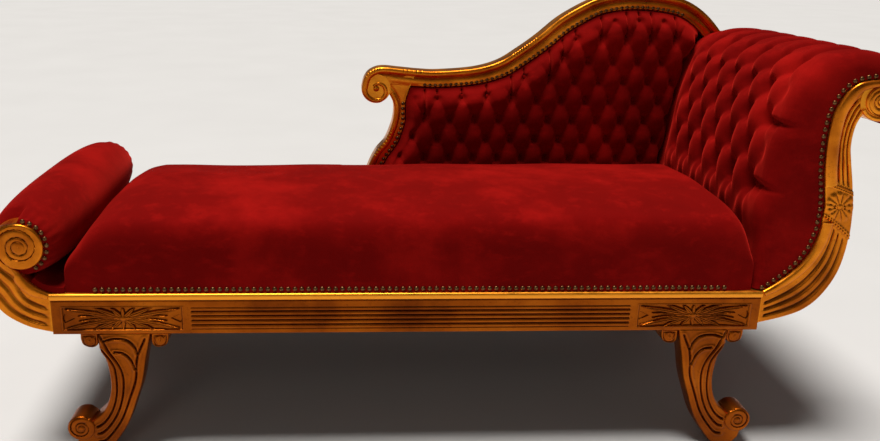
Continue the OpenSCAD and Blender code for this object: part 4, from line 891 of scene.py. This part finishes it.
pairs = pad_pairs()
fine_pairs = smooth(pairs, 8)
head_base = pairs[:N_TO_CROWN, 2:] + [SEAT_L / 2, 0]


# Padding: the unevenness of cloth, and the tufts between buttons at whole a and b
def waves(x, y, z, size):
    long = sin(x * 0.019 + 1.3 * sin(y * 0.013)) * cos(z * 0.017 + 0.9 * sin(x * 0.011))
    return size * (long + 0.5 * sin(y * 0.041 + z * 0.033 + x * 0.007))


def diamonds(a, b, puff, hole, sharp):
    near = (cos(pi * a) * cos(pi * b)) ** 2
    hills = np.abs(sin(pi * a) * sin(pi * b)) ** 1.1
    crease = hump(sin(pi * a), 0.12) + hump(sin(pi * b), 0.12)
    lift = 0.5 * puff + puff * hills - hole * near**sharp
    return lift - 0.3 * hole * near**9 - 0.8 * crease * near**0.4


# Head pad: rows go up it, columns go back from its front edge, and folds run on from the buttons
HEAD_PAD_Y1 = BACK_IN_Y - SOFT_GAP
HEAD_TUFT_W = (HEAD_PAD_Y1 - SOFT_Y0) / 7.5
HEAD_ROWS, HEAD_COLUMNS, FIRST_ROW_AT, PAIRS_A_ROW, ROW_PITCH = 5, 6, 6, 2, 66
HEAD_PUFF, HEAD_HOLE, HEAD_CROWN, HEAD_FOLD, FOOT_FOLD = 12, 20, 14, 15, 6
FRONT_ROUND = 26
NOTCH_Y = BACK_IN_Y - 42.6


def head_lift(y, k):
    t = (y - SOFT_Y0) / (HEAD_PAD_Y1 - SOFT_Y0)
    row, column = (k - FIRST_ROW_AT) / PAIRS_A_ROW, (y - SOFT_Y0) / HEAD_TUFT_W - 1
    inside = ramp(row + 1.2) * ramp(5.2 - row)
    inside = inside * (ramp((column + 0.6) * 1.6) * ramp((5.6 - column) * 1.6))
    crown = HEAD_CROWN * ramp(row + 1.6) * ramp((7 - row) / 2)
    crown = crown * sqrt(maximum(0, 1 - np.abs(2 * t - 0.85) ** 3))
    tufts = diamonds(column + row / 2, column - row / 2, HEAD_PUFF, HEAD_HOLE, 1.5)
    plain = HEAD_PUFF * ramp(row + 1.6) * ramp((10 - row) / 3)
    lift = crown + inside * tufts + (1 - inside) * plain
    for c in range(HEAD_COLUMNS):
        side = (column - c) * HEAD_TUFT_W
        fold = hump(side, 8) + 0.35 * hump(side + 12, 14)
        lift = lift - HEAD_FOLD * fold * ramp((row - 4) * 2) * ramp((9 - row) / 4.5)
        lift = lift - FOOT_FOLD * hump(side, 10) * ramp(-row * 2) * ramp((row + 2.2) / 1.6)
    for r in (0, 2):
        drop = (row - r) * ROW_PITCH
        crease = hump(drop, 6) + 0.6 * hump(drop + 10, 14)
        lift = lift - HEAD_FOLD * crease * ramp(-column * 4) * ramp((column + 0.97) / 0.5)
    return ramp((NOTCH_Y - y) / HEAD_TUFT_W * 2) * lift


def head_pad():
    ys = linspace(SOFT_Y0 + FRONT_ROUND, HEAD_PAD_Y1, 220)
    rings = []
    for k, q in zip(linspace(0, len(pairs) - 1, len(fine_pairs)), fine_pairs):
        a, b = q[:2], q[2:]
        t = np.linalg.norm(b - a)
        n = (b - a) / t
        draw, thick = min(FRONT_ROUND, t * 0.7), min(30, t * 0.6)
        ring = [[*(a + n * (t - draw) * s), SOFT_Y0] for s in linspace(0, 0.95, 6)]
        lift = head_lift(ys, k)
        for s in linspace(0.12, 1, 9):
            y = SOFT_Y0 + FRONT_ROUND * (1 - sqrt(1 - s * s))
            ring.append([*(a + n * (t - draw * (1 - s) + lift[0] * s)), y])
        ring += [[*(b + n * v), y] for y, v in zip(ys[1:], lift[1:])]
        ring += [[*(b - n * thick), ys[-1]], [*(b - n * thick), SOFT_Y0 + 24], [*a, SOFT_Y0 + 24]]
        ring = array(ring)
        rings.append(upright(at_head(ring), ring[:, 2]))
    verts, faces = loft(rings)
    uneven = [waves(*verts.T, size) for size in (0.5, 0.4)]
    return verts + stack([uneven[0], 0 * verts[:, 0], uneven[1]], 1) * 0.6, faces


pad("head_pad_tufted", head_pad(), ["head_tufted_cover", "head_foam"])

# Back pad: its edges lie a gap inside the stile, the head pad and the crest
PAD_LOW = RAIL_H + 19
TUFT_W, TUFT_H, TUFT_X, TUFT_Z = 67.0, 54.0, 68.0, 347.0
BACK_EDGE, BACK_THICK, BACK_PUFF, BACK_HOLE, BUTTON_ROOM = 50.0, 29, 8, 14, 0.8
PLEAT_DEEP, PLEAT_HALF = 15, 4.0


def back_left(z):
    return by_z(stile_inner, minimum(z, stile_inner[0][1])) + PAD_GAP


def back_right(z):
    return by_z(head_base, z) - PAD_GAP


def back_top(x):
    return interp(x, crest_under[:, 0], crest_under[:, 1]) - PAD_GAP


# Buttons go where they have room, and pleats run up from the highest button of each column
def button_grid():
    for r in range(-9, 12):
        for c in range(-8, 16):
            x, z = TUFT_X + TUFT_W * (c + (r % 2) / 2), TUFT_Z + TUFT_H * r
            room = min(2 * (back_top(x) - z), x - back_left(z), back_right(z) - x, z - SEAT_TOP + 18)
            if room > BACK_EDGE * BUTTON_ROOM:
                yield float(x), float(z)


def pleats():
    highest = {}
    for x, z in BACK_HOLES:
        key = round((x - TUFT_X) / TUFT_W * 2)
        highest[key] = max(z, highest.get(key, 0))
    for k, z in highest.items():
        if z > min(highest.get(k - 1, 0), highest.get(k + 1, 0)) + 10:
            yield TUFT_X + TUFT_W * k / 2, z


BACK_HOLES = list(button_grid())
PLEATS = list(pleats())


def back_lift(x, z):
    top, side, head_side = back_top(x) - z, x - back_left(z), back_right(z) - x
    edge = ramp(top / BACK_EDGE) * ramp(side / BACK_EDGE) * ramp(2 * head_side / BACK_EDGE)
    row, column = (z - TUFT_Z) / TUFT_H, (x - TUFT_X) / TUFT_W
    inside = ramp(2 * top / BACK_EDGE - 0.3) * ramp(2 * side / BACK_EDGE - 0.3)
    tufts = diamonds(column + row / 2, column - row / 2, BACK_PUFF, BACK_HOLE, 2.4)
    lift = (inside * tufts + (1 - inside) * BACK_PUFF) * ramp(top / 20) * ramp(side / 22)
    for at, high in PLEATS:
        lift = lift - PLEAT_DEEP * hump(x - at, PLEAT_HALF) * ramp((z - high + 4) / 12) * ramp(top / 10)
    return BACK_THICK * sqrt(edge) + lift


# A patch from a straight foot up to a top, between a left and a right side that are given over z
def back_patch(foot, left_of, right_of, top_of, z_left, z_right, n_side, n_top, *n):
    sides = []
    for side_of, z_end in ((left_of, z_left), (right_of, z_right)):
        z = linspace(foot, z_end, n_side)
        sides.append(stack([side_of(z), z], 1))
    x = linspace(sides[0][-1][0], sides[1][-1][0], n_top)
    high = stack([x, top_of(x)], 1)
    high[0], high[-1] = (s[-1] for s in sides)
    return patch(array([s[0] for s in sides]), high, *sides, *n)


def back_pad():
    z_right = next(z for z in linspace(400, 640, 2000) if back_top(back_right(z)) <= z)
    z_left = stile_inner[0][1] - 2
    grid = back_patch(PAD_LOW, back_left, back_right, back_top, z_left, z_right, 60, 200, 520, 220)
    front = BACK_IN_Y - PAD_GAP - back_lift(grid[..., 0], grid[..., 1])
    return slab(grid + [MID_X, LEG_H], front, BACK_IN_Y + 6)


pad("back_pad_tufted", back_pad(), ["back_tufted_cover", "back_foam"])

# Covered buttons at the bottom of each tuft
BUTTON_R, BUTTON_DOME, BUTTON_SET = 8.0, 0.45, 3.5


def button(c, n):
    n = array(n, float) / np.linalg.norm(n)
    side = np.cross(n, [0, 1, 0] if abs(n[1]) < 0.9 else [0, 0, 1])
    side /= np.linalg.norm(side)
    circle = unit(round_angles(20)) @ [side, np.cross(n, side)]
    bent = radians([-60, -30, 0, 25, 45, 62, 78, 88])
    return loft([array(c) + BUTTON_R * (circle * cos(t) + n * (BUTTON_DOME * sin(t))) for t in bent])


def head_button_places():
    for r in range(HEAD_ROWS):
        for c in range(HEAD_COLUMNS - r % 2):
            k, y = FIRST_ROW_AT + PAIRS_A_ROW * r, SOFT_Y0 + HEAD_TUFT_W * (1 + c + (r % 2) / 2)
            if y < NOTCH_Y - HEAD_TUFT_W / 2:
                q = fine_pairs[k * 8]
                n = (q[2:] - q[:2]) / np.linalg.norm(q[2:] - q[:2])
                p = q[2:] + n * (head_lift(y, k) + BUTTON_SET)
                yield [HEAD_X + p[0], y, LEG_H + p[1]], [n[0], 0, n[1]]


def back_button_places():
    for x, z in BACK_HOLES:
        y = BACK_IN_Y - PAD_GAP - float(back_lift(x, z)) - BUTTON_SET
        yield [MID_X + x, y, LEG_H + z], [0, -1, 0]


for node, places in (("head_buttons", head_button_places), ("back_buttons", back_button_places)):
    pad(node + "_covered", joined([button(*q) for q in places()]), [node], 70)

# Seat: shares of its end's, its full side's and its notched side's outline
END_SHARES = [
    [0, 0], [0.01, 0.15], [0.02, 0.38], [0.16, 0.53], [0.31, 0.68], [0.48, 0.83], [0.7, 0.94], [1, 1]]
SIDE_SHARES = [
    [0, 0], [0.001, 0.12], [0.002, 0.36], [0.003, 0.6], [0.01, 0.75], [0.026, 0.85], [0.055, 0.91],
    [0.12, 0.96], [0.25, 0.995], [0.39, 1], [0.53, 0.97], [0.68, 0.89], [0.82, 0.76], [0.92, 0.56],
    [0.975, 0.36], [0.998, 0.15], [1, 0]]
NOTCHED_SHARES = [
    [0, 0], [0.001, 0.12], [0.002, 0.36], [0.003, 0.6], [0.012, 0.75], [0.03, 0.85], [0.065, 0.91],
    [0.14, 0.96], [0.29, 0.995], [0.45, 1], [0.61, 0.97], [0.76, 0.905], [0.88, 0.82], [0.95, 0.74],
    [0.985, 0.6], [0.998, 0.3], [1, 0]]
RISE_SHARES = (0.95, 1.03)
FOOT_ROUND, HEAD_ROUND, END_DRAW, SEAT_WAVE = 110, 55, 6, 1.4


def seat_pad():
    x0, long = FOOT_X + SEAT_FOOT_GAP, SEAT_L - SEAT_FOOT_GAP - SEAT_HEAD_GAP
    notch = MID_X - BACK_START - 45 - x0
    end, side, notched = (smooth(s) for s in (END_SHARES, SIDE_SHARES, NOTCHED_SHARES))
    cols = [(s[0] * FOOT_ROUND, s[1], side, SOFT_Y1) for s in end]
    before = [*linspace(FOOT_ROUND + 10, notch - 14, 34), notch - 12]
    after = [notch, *linspace(notch + 12, long - HEAD_ROUND - 5, 60)]
    cols += [(c, 1, side, SOFT_Y1) for c in before] + [(c, 1, notched, NOTCH_Y) for c in after]
    cols += [(long - s[0] * HEAD_ROUND, s[1], notched, NOTCH_Y) for s in end[::-1]]
    grid = []
    for c, up, s, y1 in cols:
        both = up * s[:, 1]
        both = both / maximum(up + s[:, 1] - both, 1e-9)
        draw = END_DRAW * (1 - up)
        y = SOFT_Y0 + draw + (y1 - SOFT_Y0 - 2 * draw) * s[:, 0]
        share = RISE_SHARES[0] + (RISE_SHARES[1] - RISE_SHARES[0]) * c / long
        z = (SEAT_TOP - RAIL_H - SOFT_GAP) * both * share
        grid.append(stack([np.full(len(s), x0 + c), y, z], 1))
    grid = array(grid)
    uneven = waves(grid[..., 0], grid[..., 1], 0, SEAT_WAVE)
    grid[..., 2] += uneven * ramp(grid[..., 2] / 90)
    grid[..., 2] += LEG_H + RAIL_H + SOFT_GAP
    faces, rim = grid_faces(*grid.shape[:2])
    return grid.reshape(-1, 3), faces + [rim[::-1]]


pad("seat_crowned", seat_pad(), ["seat_cover", "seat_foam"], 50)

# Foot roll: full between the arms, tight on their discs, and gathered towards its ends
ROLL_MARGIN, PUCKER, PUCKERS = 10, 0.9, 22


def foot_roll():
    ang = round_angles(96)
    deg = np.degrees(ang)
    edge = FOOT_DISC_R + ROLL_MARGIN
    rings = []
    for t in (1 - cos(linspace(0, pi, 70))) / 2:
        y = SOFT_Y0 + (SOFT_Y1 - SOFT_Y0) * t
        full = edge + (FOOT_ROLL_R - edge) * (1 - abs(2 * t - 1) ** 3) ** 0.7
        tight = ramp((BOARD_IN_Y + 6 - y) / 8) + ramp((y - BACK_IN_Y + 6) / 8)
        open_side = ramp((deg - 86) / 10) * ramp((306 - deg) / 10)
        held = tight * (1 - open_side)
        rad = full * (1 - held) + (FOOT_DISC_R - 2) * held
        gather = ramp((abs(2 * t - 1) - 0.84) / 0.12)
        rad = rad + PUCKER * cos(ang * PUCKERS) * gather * open_side
        rings.append(upright(at_foot(FOOT_C + rad[:, None] * unit(ang)), y))
    return loft(rings)


pad("foot_roll_velvet", foot_roll(), ["foot_roll_cover"])


# Stretched covers: the foot end's inside and outside, the head end's outside, and the back's outside
def panel(path, near, far, y0, y1, at_place, bulge=2.0):
    rings = []
    for t in steps(24):
        side = moved(path, near - bulge * swell(t)), moved(path, far)
        q = at_place(concatenate([side[0], side[1][::-1]]))
        rings.append(upright(q, y0 + (y1 - y0) * t))
    return loft(rings)


LINING_T, PANEL_SET, PANEL_IN_BY, OUTSIDE_T = 12, 4, 10, 3
low = foot_inner[0][1] + SOFT_GAP
off = [-SOFT_GAP, 2 * SOFT_GAP]
lining = [[SOFT_GAP - SEAT_FOOT_GAP, low], [-LINING_T, low], foot_inner[4] + off, foot_inner[10] + off]
lining = panel(smooth(lining, 8), 0, LINING_T, SOFT_Y0, SOFT_Y1, at_foot, 0)
pad("foot_inner_lining_velvet", lining, ["foot_inner_lining"])
for end, path, at_place in (("foot", foot_outer[1:21], at_foot), ("head", head_outer[1:51], at_head)):
    mesh = panel(path, PANEL_SET, PANEL_IN_BY, BOARD_IN_Y, BACK_IN_Y, at_place)
    pad(end + "_outside_velvet", mesh, [end + "_outside_cover"])


def back_outside():
    edge_in, bulge, n = 12, 1.5, (120, 60)
    stile_line, top = moved(stile_outer[::-1], -edge_in), moved(crest_run, -edge_in)
    head_line = moved(head_inner, PANEL_SET) + [SEAT_L / 2, 0]

    def left_of(z):
        return by_z(stile_line, z)

    def right_of(z):
        return by_z(head_line, z)

    def top_of(x):
        return interp(x, top[:, 0], top[:, 1])

    z_right = next(z for z in linspace(300, 560, 2000) if top_of(right_of(z)) <= z or z > 553)
    grid = back_patch(RAIL_H + SOFT_GAP, left_of, right_of, top_of, 400, z_right, 40, 120, *n)
    u, v = field(*n)
    return slab(grid + [MID_X, LEG_H], BACK_Y + OUTSIDE_T + bulge * swell(u) * swell(v), BACK_Y)


pad("back_outside_velvet", back_outside(), ["back_outside_cover"])


def dust_cover():
    inset, thick, sag = 30, 1, 1.5
    u, v = field(60, 30)
    x = FOOT_X + inset + (SEAT_L - 2 * inset) * u
    y = BOARD_IN_Y + (BACK_IN_Y - BOARD_IN_Y) * v
    return thin(stack([x, y, LEG_H + thick - sag * swell(u) * swell(v)], 2), thick)


dust = piece("dust_cover_cloth", dust_cover(), "black_lining", ["bottom_dust_cover"], 60)


# Webbing and hessian, each a little slack between its tacked ends
def slack(g, sag, way):
    lo, hi = g.min(0), g.max(0)
    u, v = field(*{"long": (60, 8), "cross": (8, 60), "both": (60, 40)}[way])
    x, y = lo[0] + (hi[0] - lo[0]) * u, lo[1] + (hi[1] - lo[1]) * v
    give = {"long": swell(u), "cross": swell(v), "both": swell(u) * swell(v)}[way]
    top = hi[2] - sag * give + 0.12 * sin(x * 0.21) * sin(y * 0.17)
    return thin(stack([x, y, top], 2), hi[2] - lo[2])


STRAP_T, STRAP_W, STRAP_LIFT, STRAP_ACROSS = 1.5, 50, 0.5, (0, 16, 34, 50)


def strap(rows, y):
    rings = [upright(at_middle(array(row)), y + STRAP_LIFT * (i % 2)) for i, row in enumerate(rows)]
    return loft([concatenate([r, (r + [0, STRAP_T, 0])[::-1]]) for r in rings])


def back_web():
    half, fewest, parts = STRAP_W / 2, 5, []
    zs = linspace(PAD_LOW + 1, CREST_LOW + CREST_RISE - CREST_W - 4, 60)
    for x in np.arange(-60, 800, 90):
        z = [q for q in zs if q < back_top(x + half) - 2 and back_left(q) < x < back_right(q) - STRAP_W]
        if len(z) >= fewest:
            parts.append(strap([[[x + d, q] for d in STRAP_ACROSS] for q in z], BACK_IN_Y + 18.5))
    xs = linspace(-100, 800, 90)
    for z in np.arange(PAD_LOW + 10, 560, 85):
        x = [q for q in xs if back_top(q) > z + STRAP_W + 2]
        x = [q for q in x if back_left(z + half) + 2 < q < back_right(z + half) - 2]
        if len(x) >= fewest:
            parts.append(strap([[[q, z + d] for d in STRAP_ACROSS] for q in x], BACK_IN_Y + 20))
    return joined(parts)


# The separate solids of a CAD node, each as the places of its corners
def solids(node):
    me = frame["nodes"][node].data
    co = array([v.co for v in me.vertices]) / MM
    key = {}
    ids = array([key.setdefault(tuple(np.round(c, 2)), len(key)) for c in co])
    parent = list(range(len(key)))

    def find(i):
        while parent[i] != i:
            parent[i] = parent[parent[i]]
            i = parent[i]
        return i

    for poly in me.polygons:
        q = [find(ids[v]) for v in poly.vertices]
        for b in q[1:]:
            parent[find(b)] = find(q[0])
    groups = {}
    for i, c in zip(ids, co):
        groups.setdefault(find(i), []).append(c)
    return [array(g) for g in groups.values()]


for way in ("cross", "long"):
    node = f"seat_{way}_webbing"
    straps = joined([slack(g, 1.2, way) for g in solids(node)])
    piece(node + "_straps", straps, "jute_webbing", [node], 60)
cloth = solids("seat_hessian")[0]
hessian = piece("seat_hessian_cloth", slack(cloth, 1.0, "both"), "hessian", ["seat_hessian"], 60)
across = np.ptp(cloth, axis=0) * MM
piece("back_webbing_straps", back_web(), "jute_webbing", ["back_webbing"], 60)

# Round-headed nails, each where its CAD nail is, with its wider side on the wood
NAIL_SHARE, NAIL_ROOT, NAIL_SIDES = 1.15, 0.4, 16


def dome(g):
    lo, hi = g.min(0), g.max(0)
    near_low = np.abs(g[:, 1] - lo[1]) < 0.05
    spread = np.ptp(g[near_low][:, 0]), np.ptp(g[~near_low][:, 0])
    way, base = (1, lo[1]) if spread[0] > spread[1] else (-1, hi[1])
    rad, tall = (hi[0] - lo[0]) / 2, (hi[1] - lo[1]) * NAIL_SHARE
    c, circle = (lo + hi)[[0, 2]] / 2, rad * unit(round_angles(NAIL_SIDES))
    bent = radians([0, 18, 36, 54, 70, 84])
    rings = [upright(c + cos(t) * circle, base + way * tall * sin(t)) for t in bent]
    return loft([upright(c + circle, base - way * NAIL_ROOT)] + rings)


for node in ("front_rail_nails", "foot_scroll_nails", "head_arm_nails", "crest_nails", "back_rail_nails"):
    piece(node + "_domed", joined([dome(g) for g in solids(node)]), "nail_brass", [node], 50)


# Floor, light and camera, in metres
def linked(name, data):
    o = bpy.data.objects.new(name, data)
    bpy.context.scene.collection.objects.link(o)
    return o


FLOOR_R, FLOOR_Z, FLOOR_SIDES = 30, -0.0005, 64
me = bpy.data.meshes.new("floor")
edge = [(FLOOR_R * cos(t), FLOOR_R * sin(t), FLOOR_Z) for t in round_angles(FLOOR_SIDES)]
me.from_pydata(edge, [], [list(range(FLOOR_SIDES))])
pale, nt = tree("pale_floor")
tones = colours(nt, noise(nt, 1.5, 4), [(0.3, (0.51, 0.505, 0.5)), (0.7, (0.53, 0.525, 0.52))])
shade(nt, [], Base_Color=tones, Roughness=0.7)
me.materials.append(pale)
linked("floor", me)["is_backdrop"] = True

world = bpy.data.worlds.new("studio")
bpy.context.scene.world = world
world.use_nodes = True
world.node_tree.nodes["Background"].inputs["Color"].default_value = (1, 0.98, 0.95, 1)
world.node_tree.nodes["Background"].inputs["Strength"].default_value = 0.09


def lamp(name, kind, at, target, power, colour):
    d = bpy.data.lights.new(name, kind)
    d.energy, d.color = power, colour
    o = linked(name, d)
    o.location = at
    o.rotation_mode = "QUATERNION"
    o.rotation_quaternion = (Vector(target) - Vector(at)).to_track_quat("-Z", "Y")
    return d


lamp("overhead", "SUN", (-0.5, -0.1, 3.4), (0, 0, 0), 4.8, (1, 0.97, 0.93)).angle = radians(22)
box_lamp = lamp("front_box", "AREA", (-1.2, -3.0, 2.4), (0, 0, 0.5), 5, (1, 0.9, 0.78))
box_lamp.shape, box_lamp.size = "DISK", 1.2

# The camera's axes and place, and its focal length, frame and principal point in pixels
RIGHT, UP, FORWARD = (0.99848, -0.05179, 0.01882), (-0.00456, 0.26256, 0.9649), (0.05491, 0.96352, -0.26193)
CAMERA_AT = (-0.19935, -1.86685, 1.06873)
FOCAL, FRAME_W, FRAME_H, CENTRE_X, CENTRE_Y, SENSOR = 800, 880, 441, 390, 165, 36
cam = linked("camera", bpy.data.cameras.new("camera"))
cam.matrix_world = Matrix(
    [[RIGHT[i], UP[i], -FORWARD[i], CAMERA_AT[i]] for i in range(3)] + [[0, 0, 0, 1]])
cam.data.sensor_width, cam.data.lens = SENSOR, FOCAL / FRAME_W * SENSOR
cam.data.shift_x = (FRAME_W / 2 - CENTRE_X) / FRAME_W
cam.data.shift_y = -(FRAME_H / 2 - CENTRE_Y) / FRAME_W
bpy.context.scene.camera = cam
bpy.context.scene.view_settings.view_transform = "Standard"

box = [[list(c) for c in b] for b in (CAD_BOX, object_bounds())]
